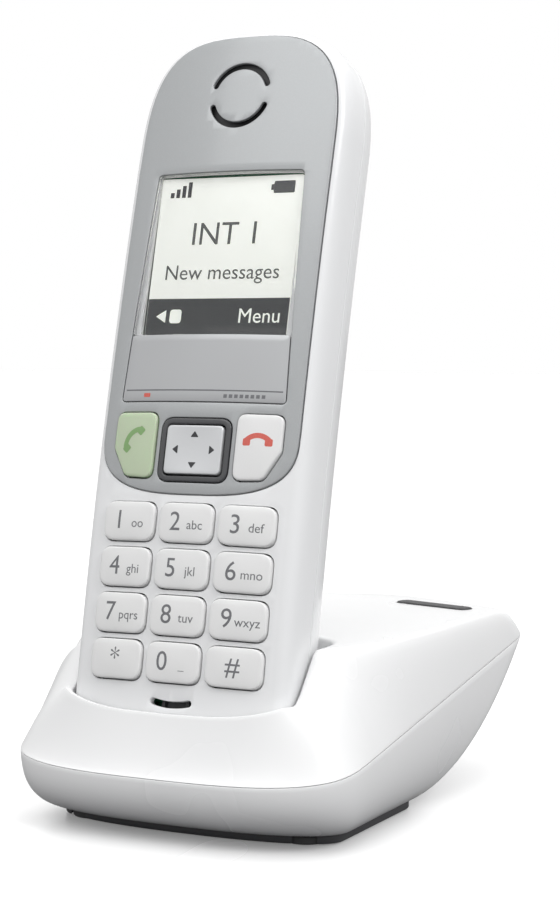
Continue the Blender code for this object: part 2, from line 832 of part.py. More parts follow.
def build_handset_inside(handset, board_finish, metal, dark, rubber):
    board_low = CASE_LOW + 5 * MM
    board_high = CASE_HIGH - 9 * MM
    outline = rounded_outline(
        rectangle(0, (board_low + board_high) / 2, BOARD_WIDTH, board_high - board_low), 9 * MM, 4
    )
    board_back = BOARD_FRONT + BOARD_THICKNESS
    board = prism(outline, BOARD_FRONT, board_back, along_depth)
    make("handset_circuit_board", board, board_finish, handset)

    shell_inside = CASE_WALL + face_depth(0, EARPIECE_HEIGHT)
    mesh_front = FACEPLATE_THICKNESS + GAP + face_depth(7.4 * MM, EARPIECE_HEIGHT)
    ear = (0, EARPIECE_HEIGHT)
    cloth = disc(ear, 7.4 * MM, mesh_front, mesh_front + 0.4 * MM, along_depth, 24)
    make("earpiece_mesh", cloth, dark, handset)
    speaker_front = max(shell_inside, mesh_front + 0.4 * MM) + GAP
    speaker = disc(ear, 7.2 * MM, speaker_front, BOARD_FRONT - GAP, along_depth, 24)
    make("earpiece_speaker", speaker, metal, handset)
    ringer = disc((0, 118 * MM), 8 * MM, board_back + GAP, board_back + 4.5 * MM, along_depth, 24)
    make("ringer_speaker", ringer, dark, handset)

    mic = (0, MIC_HEIGHT)
    mic_front = face_depth(0, MIC_HEIGHT) + CASE_WALL + GAP
    capsule = disc(mic, 2.0 * MM, mic_front + 0.5 * MM, BOARD_FRONT - GAP, along_depth, 16)
    make("microphone", capsule, metal, handset)
    boot = make(
        "microphone_boot",
        disc(mic, 3.0 * MM, mic_front, BOARD_FRONT - GAP, along_depth, 16),
        rubber,
        handset,
    )
    bore = disc(mic, 2.0 * MM + GAP, -2 * MM, 12 * MM, along_depth, 16)
    combine(boot, cutter("cut_boot", bore, handset))

    aerial_low = board_high - 16 * MM
    aerial = box(
        (-16 * MM, board_back + GAP, aerial_low),
        (-11 * MM, board_back + GAP + 0.5 * MM, aerial_low + 12 * MM),
    )
    make("handset_antenna", aerial, metal, handset)

    for side, name in ((-1, "left"), (1, "right")):
        middle = contact_middle(side)
        half = CONTACT_PLATE / 2
        plate = box(
            (middle - half, CONTACT_DEPTH - half, CONTACT_LIFT),
            (middle + half, CONTACT_DEPTH + half, CONTACT_LIFT + 0.8 * MM),
        )
        make(f"handset_contact_{name}", plate, metal, handset)
        head = CASE_SCREW_SEAT + GAP
        screw = screw_mesh(
            (side * CASE_SCREW_OFFSET, CASE_SCREW_HEIGHT),
            (CASE_SCREW_HEAD, CASE_SCREW_RADIUS),
            (head + 1.2 * MM, head, BOARD_FRONT + 2.5 * MM),
            along_depth,
        )
        make(f"handset_screw_{name}", screw, metal, handset)


# Base


def crease_outline(inset):
    return capped_outline(
        BASE_WIDTH / 2 - inset,
        BASE_FRONT + inset,
        BASE_REAR - inset,
        FRONT_CORNER - inset,
        REAR_CORNER - inset,
        3.0,
        2.4,
    )


def sole_outline(inset):
    low = BASE_FRONT + SOLE_SETBACK
    return capped_outline(
        SOLE_WIDTH / 2 - inset,
        low + inset,
        low + SOLE_LENGTH - inset,
        SOLE_CORNER - inset,
        SOLE_CORNER - inset,
        2.3,
        2.3,
    )


def crease_height(x, y):
    """Height of the base's widest edge, where its two shells meet."""
    crown = EDGE_CROWN * (1 - (2 * x / BASE_WIDTH) ** 2)
    rear = smooth_step(y, BASE_REAR - EDGE_CROWN_RUN, BASE_REAR)
    return EDGE_FRONT_Z + EDGE_SLOPE * (y - BASE_FRONT) + crown * rear


def cradle_section(grow):
    """Outline of the cradle across the handset: (across, depth) in the handset's frame."""
    front = face_depth(0, RIM_FRONT)
    clear = CRADLE_CLEARANCE + grow
    return capped_outline(
        CASE_WIDTH / 2 + clear,
        front - clear,
        CASE_BACK + face_depth(0, RIM_FRONT) + clear,
        10 * MM,
        15 * MM,
        4.6,
        2.7,
    )


def rim_height(u, depth):
    """How far up the handset the cradle's rim reaches, low in front and level with the deck behind."""
    behind = smooth_step(depth, RIM_STEP_START, RIM_STEP_END)
    corner = max(behind, min(1.0, abs(2 * u / CASE_WIDTH)) ** 3)
    level = math.tan(LEAN) * max(0.0, depth)
    return RIM_FRONT + RIM_CORNER * corner + RIM_STEP * behind + level


def cradle_ring(grow, drop):
    ring = []
    for u, depth in cradle_section(grow):
        ring.append(HANDSET_MATRIX @ Vector((u, depth, rim_height(u, depth) - drop)))
    return ring


def cradle_floor_ring(grow, drop, factor=1.0):
    """The cradle's walls followed down along the handset to its floor, which ramps up under the chin."""
    ring = []
    for u, depth in scaled(cradle_section(grow), factor, (0, CASE_BACK / 2)):
        ramp = 1 - smooth_step(depth, CRADLE_RAMP_START, CRADLE_RAMP_END)
        height = CRADLE_FLOOR + CRADLE_FLOOR_RAMP * ramp - drop
        height += CRADLE_SIDE_RAMP * (2 * u / CASE_WIDTH) ** 4
        along = (height - HANDSET_ORIGIN.z + depth * math.sin(LEAN)) / math.cos(LEAN)
        ring.append(HANDSET_MATRIX @ Vector((u, depth, along)))
    return ring


DECK_STEPS = (0.0, 0.8, 2.2, 4.2, 7.0, 10.5, 14.0, 24.0, 44.0)


def deck_rings(inset, lip, sink):
    """Rings from the widest edge in to the cradle's lip. The edge rises as a soft shoulder."""
    edge = crease_outline(inset)
    rim = cradle_ring(lip, 0.0)
    rings = []
    last = len(DECK_STEPS)
    for k, distance in enumerate(DECK_STEPS):
        ring = []
        for (x, y), top in zip(edge, rim):
            start = Vector((x, y))
            run = Vector((top.x, top.y)) - start
            share = min(distance * MM / run.length, k / last)
            place = start + run * share
            low = crease_height(x, y) + GAP / 2
            travel = min(1.0, (share * run.length + inset) / min(SHOULDER_RUN, run.length + inset))
            front = 1 - smooth_step(y, BASE_FRONT, BASE_FRONT + FRONT_CORNER)
            rise = front * travel**1.35 + (1 - front) * (1 - (1 - travel) ** 2.2)
            height = low + (top.z - low) * rise - sink
            ring.append(Vector((place.x, place.y, max(low, height))))
        rings.append(ring)
    rings.append([Vector((p.x, p.y, p.z - sink)) for p in rim])
    return rings


def deck_height(x, y):
    """Height of the deck's outside over a place in plan."""
    tree = BVHTree.FromBMesh(loft(deck_rings(0.0, CRADLE_LIP, 0.0)))
    above = Vector((x, y, BASE_DEPTH))
    return tree.ray_cast(above, Vector((0, 0, -1)))[0].z


def build_top_shell(finish):
    deck = deck_rings(0.0, CRADLE_LIP, 0.0)
    lip = cradle_ring(0.0, 0.6 * MM)
    rings = [cradle_floor_ring(0.0, 0.0, f) for f in (0.4, 0.8, 1.0)]
    rings += [lip]
    rings += deck[::-1]
    rings += deck_rings(BASE_WALL + GAP, CRADLE_WALL, BASE_WALL)
    rings += [cradle_floor_ring(CRADLE_WALL, CRADLE_WALL, f) for f in (1.0, 0.8, 0.4)]
    shell = make("base_top_shell", loft(rings), finish)
    for side in (-1, 1):
        place = (side * BOSS_PLACE[0], BOSS_PLACE[1])
        boss_top = deck_height(*place) - BASE_WALL / 2
        boss = disc(place, BOSS_RADIUS, HULL_BOTTOM + BASE_WALL + GAP, boss_top, along_height, 16)
        combine(shell, cutter(f"boss_{side:+d}", boss), "UNION")
        bore = disc(place, BASE_SCREW_RADIUS + GAP, 0, 16 * MM, along_height, 12)
        combine(shell, cutter(f"cut_boss_{side:+d}", bore))
        slot_low, slot_high = contact_slot(side, GAP)
        combine(shell, cutter(f"cut_charge_slot_{side:+d}", box(slot_low, slot_high)))
    key_height = deck_height(*PAGING_PLACE)
    opening = prism(
        paging_outline(GAP), key_height - 2 * PAGING_DEPTH, key_height + PAGING_DEPTH, along_height
    )
    combine(shell, cutter("cut_paging", opening))


def paging_outline(grow):
    half, side = PAGING_LENGTH / 2 + grow, PAGING_WIDTH / 2 + grow
    turn = Matrix.Rotation(PAGING_TURN, 2)
    outline = rounded_outline(
        [(-half, -side), (half, -side), (half, side), (-half, side)], side * 0.95, 5
    )
    turned = [turn @ Vector(p) for p in outline]
    return [(p.x + PAGING_PLACE[0], p.y + PAGING_PLACE[1]) for p in turned]


def hull_rings(inset, lift):
    """Rings from the sole up to the widest edge. The stern sweeps up behind the sole."""
    sole = sole_outline(inset)
    edge = crease_outline(inset)
    rings = []
    for share in (0.0, 0.1, 0.24, 0.4, 0.56, 0.72, 0.87, 1.0):
        ring = []
        for (sx, sy), (ex, ey) in zip(sole, edge):
            top = crease_height(ex, ey) - GAP / 2
            height = HULL_BOTTOM + (top - HULL_BOTTOM) * share**HULL_CURVE
            spread = 1 - (1 - share) ** HULL_BULGE
            x = sx + (ex - sx) * spread
            upswept = smooth_step(ey, BASE_FRONT, BASE_FRONT + HULL_BOW_LENGTH)
            y = sy + (ey - sy) * (spread + (share - spread) * upswept)
            ring.append(Vector((x, y, min(height + lift, top))))
        rings.append(ring)
    return rings


def build_bottom_shell(finish):
    outside = hull_rings(0.0, 0.0)
    shell = make(
        "base_bottom_shell",
        loft(outside + hull_rings(BASE_WALL, BASE_WALL)[::-1]),
        finish,
    )
    body = cutter("cut_hull_outside", loft(outside))
    half = SOCKET_RECESS_WIDTH / 2
    wall = BASE_WALL
    walls = cutter(
        "socket_recess_walls",
        box(
            (-half - wall, SOCKET_FACE - wall, 0),
            (half + wall, BASE_REAR, SOCKET_RECESS_TOP + wall),
        ),
    )
    combine(walls, body, "INTERSECT")
    combine(shell, walls, "UNION")
    recess = box((-half, SOCKET_FACE, -5 * MM), (half, BASE_REAR, SOCKET_RECESS_TOP))
    combine(shell, cutter("cut_socket_recess", recess))
    for name, (low, high) in socket_boxes(GAP).items():
        combine(shell, cutter(f"cut_{name}", box(low, high)))
    for side in (-1, 1):
        bore = disc(
            (side * BOSS_PLACE[0], BOSS_PLACE[1]),
            BASE_SCREW_RADIUS + GAP,
            0,
            HULL_BOTTOM + BASE_WALL + GAP,
            along_height,
            12,
        )
        combine(shell, cutter(f"cut_hull_screw_{side:+d}", bore))


def socket_boxes(grow):
    """Outer boxes of the two sockets, which stand on the base's board and face the recess."""
    boxes = {}
    for name, middle, width in (("power_socket", -8 * MM, 11 * MM), ("line_socket", 7.5 * MM, 13 * MM)):
        boxes[name] = (
            (middle - width / 2 - grow, SOCKET_FACE - SOCKET_DEPTH - grow, SOCKET_BASE - grow),
            (
                middle + width / 2 + grow,
                SOCKET_FACE + 0.4 * MM + grow,
                SOCKET_BASE + SOCKET_HEIGHT + grow,
            ),
        )
    return boxes


def build_sockets(dark):
    for name, (low, high) in socket_boxes(0.0).items():
        socket = make(name, box(low, high), dark)
        border = 1.4 * MM
        mouth = box(
            (low[0] + border, high[1] - 7.5 * MM, low[2] + border),
            (high[0] - border, high[1] + 2 * MM, high[2] - border),
        )
        combine(socket, cutter(f"cut_{name}_mouth", mouth))


def contact_crest():
    """Where a charge contact's crest stands, just under the handset's contact plate."""
    plate = HANDSET_MATRIX @ Vector((0, CONTACT_DEPTH, CONTACT_LIFT))
    return plate.y, plate.z - GAP


def contact_slot(side, grow):
    crest_y, crest_z = contact_crest()
    half_length = 3.1 * MM + grow
    middle = contact_middle(side)
    half = CONTACT_WIDTH / 2 + grow
    return (
        (middle - half, crest_y - half_length, 3 * MM),
        (middle + half, crest_y + half_length, crest_z + 3 * MM),
    )


def build_charge_contacts(metal):
    """Two sprung leaves, bent to an arch that passes up through the cradle's floor."""
    crest_y, crest_z = contact_crest()
    thickness = 0.5 * MM
    foot = CRADLE_FLOOR - CRADLE_WALL - 0.3 * MM
    arch = (
        (-2.9, 0.0),
        (-2.4, 0.0),
        (-2.1, 0.35),
        (-1.2, 0.86),
        (0.0, 1.0),
        (1.2, 0.86),
        (2.1, 0.35),
        (2.4, 0.0),
        (2.9, 0.0),
    )
    height = crest_z - foot
    outer = [(crest_y + y * MM, foot + z * height) for y, z in arch]
    inner = [
        (crest_y + y * MM * 0.78, foot - thickness + z * height) for y, z in reversed(arch)
    ]
    outline = outer + inner
    for side, name in ((-1, "left"), (1, "right")):
        middle = contact_middle(side)
        mesh = ribbon(
            outline,
            middle - CONTACT_WIDTH / 2,
            middle + CONTACT_WIDTH / 2,
            lambda y, z, x: Vector((x, y, z)),
        )
        make(f"charge_contact_{name}", mesh, metal, None, Vector((middle, crest_y, crest_z)))


def build_sole(finish, rubber, metal):
    inset = 0.4 * MM
    sole = make(
        "base_sole",
        loft(
            [
                [Vector((x, y, SOLE_BOTTOM)) for x, y in sole_outline(inset + 0.4 * MM)],
                [Vector((x, y, SOLE_BOTTOM + 0.4 * MM)) for x, y in sole_outline(inset)],
                [Vector((x, y, SOLE_TOP)) for x, y in sole_outline(inset)],
            ]
        ),
        finish,
    )
    edge = FOOT_RADIUS + 3 * MM
    front = BASE_FRONT + SOLE_SETBACK + edge
    rear = BASE_FRONT + SOLE_SETBACK + SOLE_LENGTH - edge
    for end, y in (("front", front), ("rear", rear)):
        for side, word in ((-1, "left"), (1, "right")):
            centre = (side * (SOLE_WIDTH / 2 - edge), y)
            hole = disc(centre, FOOT_RADIUS + GAP, 0, 5 * MM, along_height, 24)
            combine(sole, cutter(f"cut_foot_{end}_{word}", hole))
            foot = disc(centre, FOOT_RADIUS, 0, SOLE_TOP - 0.1 * MM, along_height, 24)
            make(f"foot_{end}_{word}", foot, rubber)
    for side, word in ((-1, "left"), (1, "right")):
        place = (side * BOSS_PLACE[0], BOSS_PLACE[1])
        head = disc(place, BASE_SCREW_HEAD + GAP, 0, 5 * MM, along_height, 16)
        combine(sole, cutter(f"cut_sole_screw_{word}", head))
        screw = screw_mesh(
            place,
            (BASE_SCREW_HEAD, BASE_SCREW_RADIUS),
            (SOLE_BOTTOM, SOLE_TOP, 12 * MM),
            along_height,
        )
        make(f"base_screw_{word}", screw, metal)


def build_base_inside(board_finish, metal):
    top = SOCKET_BASE - GAP
    front = BOSS_PLACE[1] + 2 * MM
    rear = SOCKET_FACE - SOCKET_DEPTH / 2
    half = BOSS_PLACE[0] + 5 * MM
    board = box((-half, front, top - BASE_BOARD_THICKNESS), (half, rear, top))
    made = make("base_circuit_board", board, board_finish)
    for side in (-1, 1):
        place = (side * BOSS_PLACE[0], BOSS_PLACE[1])
        clear = disc(place, BOSS_RADIUS + GAP, 0, 2 * top, along_height, 16)
        combine(made, cutter(f"cut_board_boss_{side:+d}", clear))
    aerial_low = (-14 * MM, front + 1 * MM, top + GAP)
    aerial_high = (-4 * MM, front + 1.6 * MM, top + 7 * MM)
    make("base_antenna", box(aerial_low, aerial_high), metal)


def build_paging_key(finish):
    """An oval key whose top follows the deck."""
    outline = refined(paging_outline(0.0), 3 * MM)
    inset = grown(outline, -0.4 * MM)
    middle = Vector((*PAGING_PLACE, deck_height(*PAGING_PLACE)))
    rings = [[Vector((x, y, middle.z - PAGING_DEPTH)) for x, y in outline]]
    rings.append([Vector((x, y, deck_height(x, y) - 0.1 * MM)) for x, y in outline])
    for s in (1.0, 0.5):
        edge = scaled(inset, s, PAGING_PLACE)
        rings.append([Vector((x, y, deck_height(x, y) + PAGING_PROUD)) for x, y in edge])
    make("paging_key", loft(rings), finish, None, middle)


def build():
    for old in list(bpy.data.objects):
        bpy.data.objects.remove(old)

    white = material("white_gloss", (0.86, 0.86, 0.87), 0.22)
    shell_white = material("white_satin", (0.84, 0.84, 0.85), 0.35)
    silver = material("silver_pearl", (0.62, 0.63, 0.64), 0.32, 0.35)
    key_white = material("key_white", (0.88, 0.88, 0.87), 0.4)
    talk_green = material("talk_green", (0.66, 0.8, 0.6), 0.3)
    nav_silver = material("nav_silver", (0.72, 0.73, 0.74), 0.3, 0.5)
    dark = material("dark_plastic", (0.05, 0.05, 0.055), 0.45)
    sole_grey = material("sole_grey", (0.16, 0.16, 0.17), 0.55)
    glass = material("window_clear", (0.9, 0.9, 0.9), 0.08, 0.0, 0.9)
    lcd = material("lcd_grey", (0.78, 0.79, 0.74), 0.2)
    light = material("light_guide", (0.9, 0.9, 0.88), 0.5)
    rubber = material("rubber_grey", (0.1, 0.1, 0.1), 0.85)
    board = material("board_green", (0.04, 0.2, 0.1), 0.45)
    metal = material("plated_steel", (0.7, 0.7, 0.68), 0.3, 1.0)
    cell = material("cell_wrap", (0.2, 0.3, 0.5), 0.4)

    handset = bpy.data.objects.new("handset_frame", None)
    bpy.context.collection.objects.link(handset)
    handset.location = HANDSET_ORIGIN
    handset.rotation_euler = (-LEAN, 0, 0)

    build_front_shell(handset, white)
    build_rear_shell(handset, white, white)
    build_faceplate(handset, silver)
    build_display(handset, glass, lcd, light)
    build_keys(handset, key_white, talk_green, nav_silver, dark, rubber)
    build_power(handset, cell, metal)
    build_handset_inside(handset, board, metal, dark, rubber)

    build_top_shell(shell_white)
    build_bottom_shell(shell_white)
    build_sole(sole_grey, rubber, metal)
    build_sockets(dark)
    build_charge_contacts(metal)
    build_base_inside(board, metal)
    build_paging_key(dark)


build()
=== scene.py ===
import math

import bmesh
import bpy
from mathutils import Matrix, Vector
from mathutils.bvhtree import BVHTree


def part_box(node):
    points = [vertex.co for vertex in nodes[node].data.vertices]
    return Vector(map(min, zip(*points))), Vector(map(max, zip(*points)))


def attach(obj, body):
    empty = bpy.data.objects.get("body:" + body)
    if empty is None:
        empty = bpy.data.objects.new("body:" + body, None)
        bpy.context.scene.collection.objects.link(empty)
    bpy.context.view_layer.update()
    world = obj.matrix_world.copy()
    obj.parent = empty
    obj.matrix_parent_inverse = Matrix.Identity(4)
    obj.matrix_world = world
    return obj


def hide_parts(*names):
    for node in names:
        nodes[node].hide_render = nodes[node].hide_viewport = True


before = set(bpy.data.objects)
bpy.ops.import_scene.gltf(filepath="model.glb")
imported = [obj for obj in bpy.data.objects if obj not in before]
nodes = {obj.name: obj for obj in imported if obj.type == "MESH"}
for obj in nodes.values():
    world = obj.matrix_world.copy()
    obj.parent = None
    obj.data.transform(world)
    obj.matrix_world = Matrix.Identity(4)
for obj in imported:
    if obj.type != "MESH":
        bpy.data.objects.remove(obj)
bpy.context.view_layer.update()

MM = 0.001

# Handset, drawn flat: across, depth behind the face, height along it
LEAN = math.radians(13.92)
BASE_FRONT = -55 * MM
BASE_REAR = 55 * MM
HANDSET_ORIGIN = Vector((0, BASE_FRONT + 2 * MM, 12 * MM))
HANDSET = Matrix.Translation(HANDSET_ORIGIN) @ Matrix.Rotation(-LEAN, 4, "X")
GAP = 0.35 * MM
CASE_HALF = 23.5 * MM
CASE_LOW = 2.5 * MM
CASE_HIGH = 149.8 * MM
CASE_WALL = 1.8 * MM
CASE_BACK = 27 * MM
TOP_CAP = 28 * MM
TOP_POWER = 3.3
BOTTOM_CAP = 12 * MM
BOTTOM_POWER = 2.3
BOW_CENTRE = 80 * MM
LONG_BOW = 1.0
CROSS_BOW = 7.0
PARTING = 8.3 * MM
FACE_EDGE = (
    (3.4, 0.0), (2.5, 0.02), (1.9, 0.1), (1.4, 0.32), (1.0, 0.62), (0.7, 1.0), (0.45, 1.5),
    (0.25, 2.2), (0.12, 3.0), (0.04, 4.1), (0.0, 5.3),
)
BACK_EDGE = (
    (0.05, 1.2), (0.2, 2.2), (0.45, 3.2), (0.85, 4.8), (1.35, 6.3), (2.0, 7.8), (2.9, 9.4),
    (4.1, 11.0), (5.6, 12.6), (7.6, 14.1), (9.8, 15.3), (12.3, 16.2), (15.0, 16.8),
)

EAR_PLACE = (0.0, 135.6 * MM)
EAR_RADIUS = 6.2 * MM
NAV_PLACE = (0.0, 63.4 * MM)
NAV_SIZE = (15.2 * MM, 12.4 * MM)
NAV_BAND = 1.1 * MM
KEY_SIZE = (11.6 * MM, 7.6 * MM)
KEY_PITCH = (12.85 * MM, 8.9 * MM)
KEY_LOWEST_ROW = 22.5 * MM
WINDOW_LOW, WINDOW_HIGH = 73.0 * MM, 119.4 * MM
WINDOW_SPLIT = 86.4 * MM
WINDOW_HALF_LOW, WINDOW_HALF_HIGH = 18.0 * MM, 16.1 * MM
LCD_FRONT = 2.6 * MM
LCD_LOW, LCD_HIGH, LCD_HALF = 86.2 * MM, 119.0 * MM, 15.8 * MM
LCD_MIDDLE = (0, (LCD_LOW + LCD_HIGH) / 2)
LCD_SIZE = (2 * LCD_HALF, LCD_HIGH - LCD_LOW)
SOFT_KEY_HEIGHT = 90.6 * MM
MIC_HEIGHT = 14.6 * MM
MIC_RADIUS = 16 * MM
MIC_SLOT = 1.3 * MM
KEY_CLEARANCE = 0.22 * MM
SIDE_KEY_CLEARANCE = 0.25 * MM
NAV_CLEARANCE = 0.2 * MM
CHARGE_PAD_OFFSET = 9 * MM
CHARGE_PAD_HALF = 2.35 * MM
CHARGE_PAD_HEIGHT = 8.5 * MM
PLATE_SIDE_INSET = 2.1 * MM
PLATE_TOP_INSET = 1.6 * MM
PLATE_LOW = 54.8 * MM
PLATE_CORNER = 12 * MM
PLATE_PROUD = 0.25 * MM
PLATE_BACK = 0.55 * MM
WINDOW_PROUD = 0.2 * MM
COVER_MIDDLE = (0, 65.5 * MM)
COVER_SIZE = (33 * MM, 57 * MM)
COVER_CORNER = 5 * MM
COVER_THICKNESS = 1.7 * MM
COVER_DEPTHS = (10 * MM, 40 * MM)
GRIP_LOW, GRIP_PITCH = 84, 1.6
CASE_SCREW_PLACE = (14.75 * MM, 88 * MM)
BAY_LOW = (-11.9 * MM, 11.6 * MM, 38.3 * MM)
BAY_HIGH = (11.9 * MM, 40 * MM, 89.8 * MM)

# Base
BASE_HALF = 36.5 * MM
FRONT_CORNER = 18 * MM
REAR_CORNER = 12.4 * MM
EDGE_FRONT_Z = 12.8 * MM
EDGE_SLOPE = 0.167
EDGE_CROWN = 4.3 * MM
EDGE_CROWN_RUN = 23 * MM
SEAM = 0.07 * MM
SHOULDER_RUN = 12 * MM
CRADLE_CLEARANCE = 0.9 * MM
RIM_FRONT = 12.6 * MM
RIM_CORNER = 2.6 * MM
RIM_STEP = 9.7 * MM
PAGING_PLACE = Vector((19 * MM, 36.5 * MM))
PAGING_TURN = math.radians(-18)
BOSS_PLACES = ((-20 * MM, -14 * MM), (20 * MM, -14 * MM))
BOSS_RADIUS = 3 * MM
BOSS_BORE = 1.55 * MM
SOLE_HALF = 31 * MM
SOLE_FRONT = BASE_FRONT + 11 * MM
SOLE_LENGTH = 0.4364 * 110 * MM
SOLE_CORNER = 9 * MM
SOLE_EDGE = ((0.9, 0.15), (0.55, 0.25), (0.4, 0.55), (0.4, 1.7))
HULL_BOTTOM = 2.05 * MM
HULL_CURVE = 1.6
HULL_BULGE = 2.2
HULL_BOW_LENGTH = 40 * MM
FOOT_ROWS = (("front", -36.5 * MM), ("rear", -3.5 * MM))
FOOT_OFFSET = 23.5 * MM
FOOT_RADIUS = 4.4 * MM

CAMERA_PLACE = (0.193392, -0.381879, 0.093753)
CAMERA_PITCH, CAMERA_TURN = math.radians(90 - 2.932), math.radians(26.941)
CAMERA_LENS = 82.095


# Work in the viewport's manner


def pick(*objs):
    """Selects these objects alone and makes the first one active."""
    if bpy.context.mode != "OBJECT":
        bpy.ops.object.mode_set(mode="OBJECT")
    bpy.ops.object.select_all(action="DESELECT")
    for obj in objs:
        obj.select_set(True)
    bpy.context.view_layer.objects.active = objs[0]


def settle(obj):
    """Applies the object's place, turn and size to its mesh."""
    pick(obj)
    bpy.ops.object.transform_apply(location=True, rotation=True, scale=True)
    return obj


def apply_modifiers(obj):
    pick(obj)
    for modifier in list(obj.modifiers):
        bpy.ops.object.modifier_apply(modifier=modifier.name)
    return obj


def cut(obj, tool, operation="DIFFERENCE"):
    """Cuts obj with a tool, joins it to obj, or keeps what both hold."""
    modifier = obj.modifiers.new("shape", "BOOLEAN")
    modifier.operation = operation
    modifier.solver = "EXACT"
    modifier.object = tool
    apply_modifiers(obj)
    bpy.data.objects.remove(tool)
    return obj


def soften(obj, width, segments=2, angle=50):
    """Rounds every edge sharper than the angle."""
    modifier = obj.modifiers.new("soften", "BEVEL")
    modifier.width = width
    modifier.segments = segments
    modifier.limit_method = "ANGLE"
    modifier.angle_limit = math.radians(angle)
    modifier.use_clamp_overlap = False
    return apply_modifiers(obj)


def smooth(obj, angle=32):
    pick(obj)
    bpy.ops.object.shade_smooth_by_angle(angle=math.radians(angle))
    return obj


def turn_outwards(obj):
    pick(obj)
    bpy.ops.object.mode_set(mode="EDIT")
    bpy.ops.mesh.select_all(action="SELECT")
    bpy.ops.mesh.normals_make_consistent(inside=False)
    bpy.ops.object.mode_set(mode="OBJECT")
    return obj


def joined(name, objs):
    pick(*objs)
    bpy.ops.object.join()
    whole = bpy.context.view_layer.objects.active
    whole.name = name
    whole.data.name = name
    return whole


def linked(name, data):
    """A new object in the scene that holds this data."""
    made = bpy.data.objects.new(name, data)
    bpy.context.collection.objects.link(made)
    return made


def skin(name, rings, fanned=False):
    """A closed skin through rings of equal count, each end closed by one face or by a fan."""
    mesh = bmesh.new()
    rows = [[mesh.verts.new(point) for point in ring] for ring in rings]
    count = len(rings[0])
    for first, second in zip(rows, rows[1:]):
        for i in range(count):
            j = (i + 1) % count
            mesh.faces.new((first[i], first[j], second[j], second[i]))
    for row in (rows[0], rows[-1]):
        if fanned:
            middle = mesh.verts.new(sum((vertex.co for vertex in row), Vector()) / count)
            for i in range(count):
                mesh.faces.new((row[i], row[(i + 1) % count], middle))
        else:
            mesh.faces.new(row)
    bmesh.ops.recalc_face_normals(mesh, faces=mesh.faces)
    data = bpy.data.meshes.new(name)
    mesh.to_mesh(data)
    mesh.free()
    return linked(name, data)


def slab(name, outline, low, high, upright=False):
    """A flat outline raised into a plate, by extruding it: along the depth, or up if upright."""
    if upright:
        points = [(a, b, low) for a, b in outline]
        travel = (0, 0, high - low)
    else:
        points = [(a, low, b) for a, b in outline]
        travel = (0, high - low, 0)
    data = bpy.data.meshes.new(name)
    data.from_pydata(points, [], [list(range(len(points)))])
    made = linked(name, data)
    pick(made)
    bpy.ops.object.mode_set(mode="EDIT")
    bpy.ops.mesh.select_all(action="SELECT")
    bpy.ops.mesh.extrude_region_move(TRANSFORM_OT_translate={"value": travel})
    return turn_outwards(made)


def block(name, low, high):
    """A rectangular block between two corners."""
    low, high = Vector(low), Vector(high)
    bpy.ops.object.select_all(action="DESELECT")
    bpy.ops.mesh.primitive_cube_add(size=1, location=(low + high) / 2, scale=high - low)
    made = bpy.context.view_layer.objects.active
    made.name = name
    made.data.name = name
    return settle(made)


def ruled(obj, pitch, axes=(0, 2)):
    """Rules a grid of edges over a flat piece, so that it can be bowed."""
    spans = {axis: [v.co[axis] for v in obj.data.vertices] for axis in axes}
    pick(obj)
    bpy.ops.object.mode_set(mode="EDIT")
    for axis, span in spans.items():
        normal = Vector()
        normal[axis] = 1
        place = min(span) + pitch
        while place < max(span):
            bpy.ops.mesh.select_all(action="SELECT")
            bpy.ops.mesh.bisect(plane_co=normal * place, plane_no=normal)
            place += pitch
    bpy.ops.object.mode_set(mode="OBJECT")
    return obj


# Outlines


def bent(value, power):
    return math.copysign(abs(value) ** power, value)


def capped_outline(half, low, high, caps, powers, points=33, side=24):
    """Straight sides closed by a superelliptic cap at each end, from the low left corner."""
    angles = [math.pi * i / (points - 1) for i in range(points)]
    low_side, high_side = low + caps[0], high - caps[1]
    rise = [low_side + (high_side - low_side) * (i + 1) / (side + 1) for i in range(side)]

    def cap(way, level, depth, bend):
        return [
            (way * half * bent(math.cos(a), bend), level + way * depth * math.sin(a) ** bend)
            for a in angles
        ]

    outline = cap(-1, low_side, caps[0], 2 / powers[0]) + [(half, y) for y in rise]
    return outline + cap(1, high_side, caps[1], 2 / powers[1]) + [(-half, y) for y in reversed(rise)]


def rounded(corners, radius, steps=6):
    """A convex outline whose corners are turned by short chords."""
    points = []
    for i, corner in enumerate(corners):
        corner = Vector(corner)
        before = (Vector(corners[i - 1]) - corner).normalized()
        after = (Vector(corners[(i + 1) % len(corners)]) - corner).normalized()
        reach = radius / math.tan(before.angle(after) / 2)
        start, end = corner + before * reach, corner + after * reach
        for k in range(steps + 1):
            t = k / steps
            bend = start * (1 - t) ** 2 + corner * (2 * t * (1 - t)) + end * t**2
            points.append((bend.x, bend.y))
    return points


def rectangle(middle, size):
    u, v = middle
    a, b = size[0] / 2, size[1] / 2
    return [(u - a, v - b), (u + a, v - b), (u + a, v + b), (u - a, v + b)]


def grown(outline, by):
    moved = []
    count = len(outline)
    for i in range(count):
        along = (Vector(outline[(i + 1) % count]) - Vector(outline[i - 1])).normalized()
        moved.append((outline[i][0] + along.y * by, outline[i][1] - along.x * by))
    return moved


def scaled(outline, factor, middle):
    return [
        (middle[0] + (a - middle[0]) * factor, middle[1] + (b - middle[1]) * factor)
        for a, b in outline
    ]


def around(middle, radius, angle):
    """The point at an angle on a circle."""
    return middle[0] + radius * math.cos(angle), middle[1] + radius * math.sin(angle)


def circle(middle, radius, steps=48):
    return [around(middle, radius, math.tau * i / steps) for i in range(steps)]


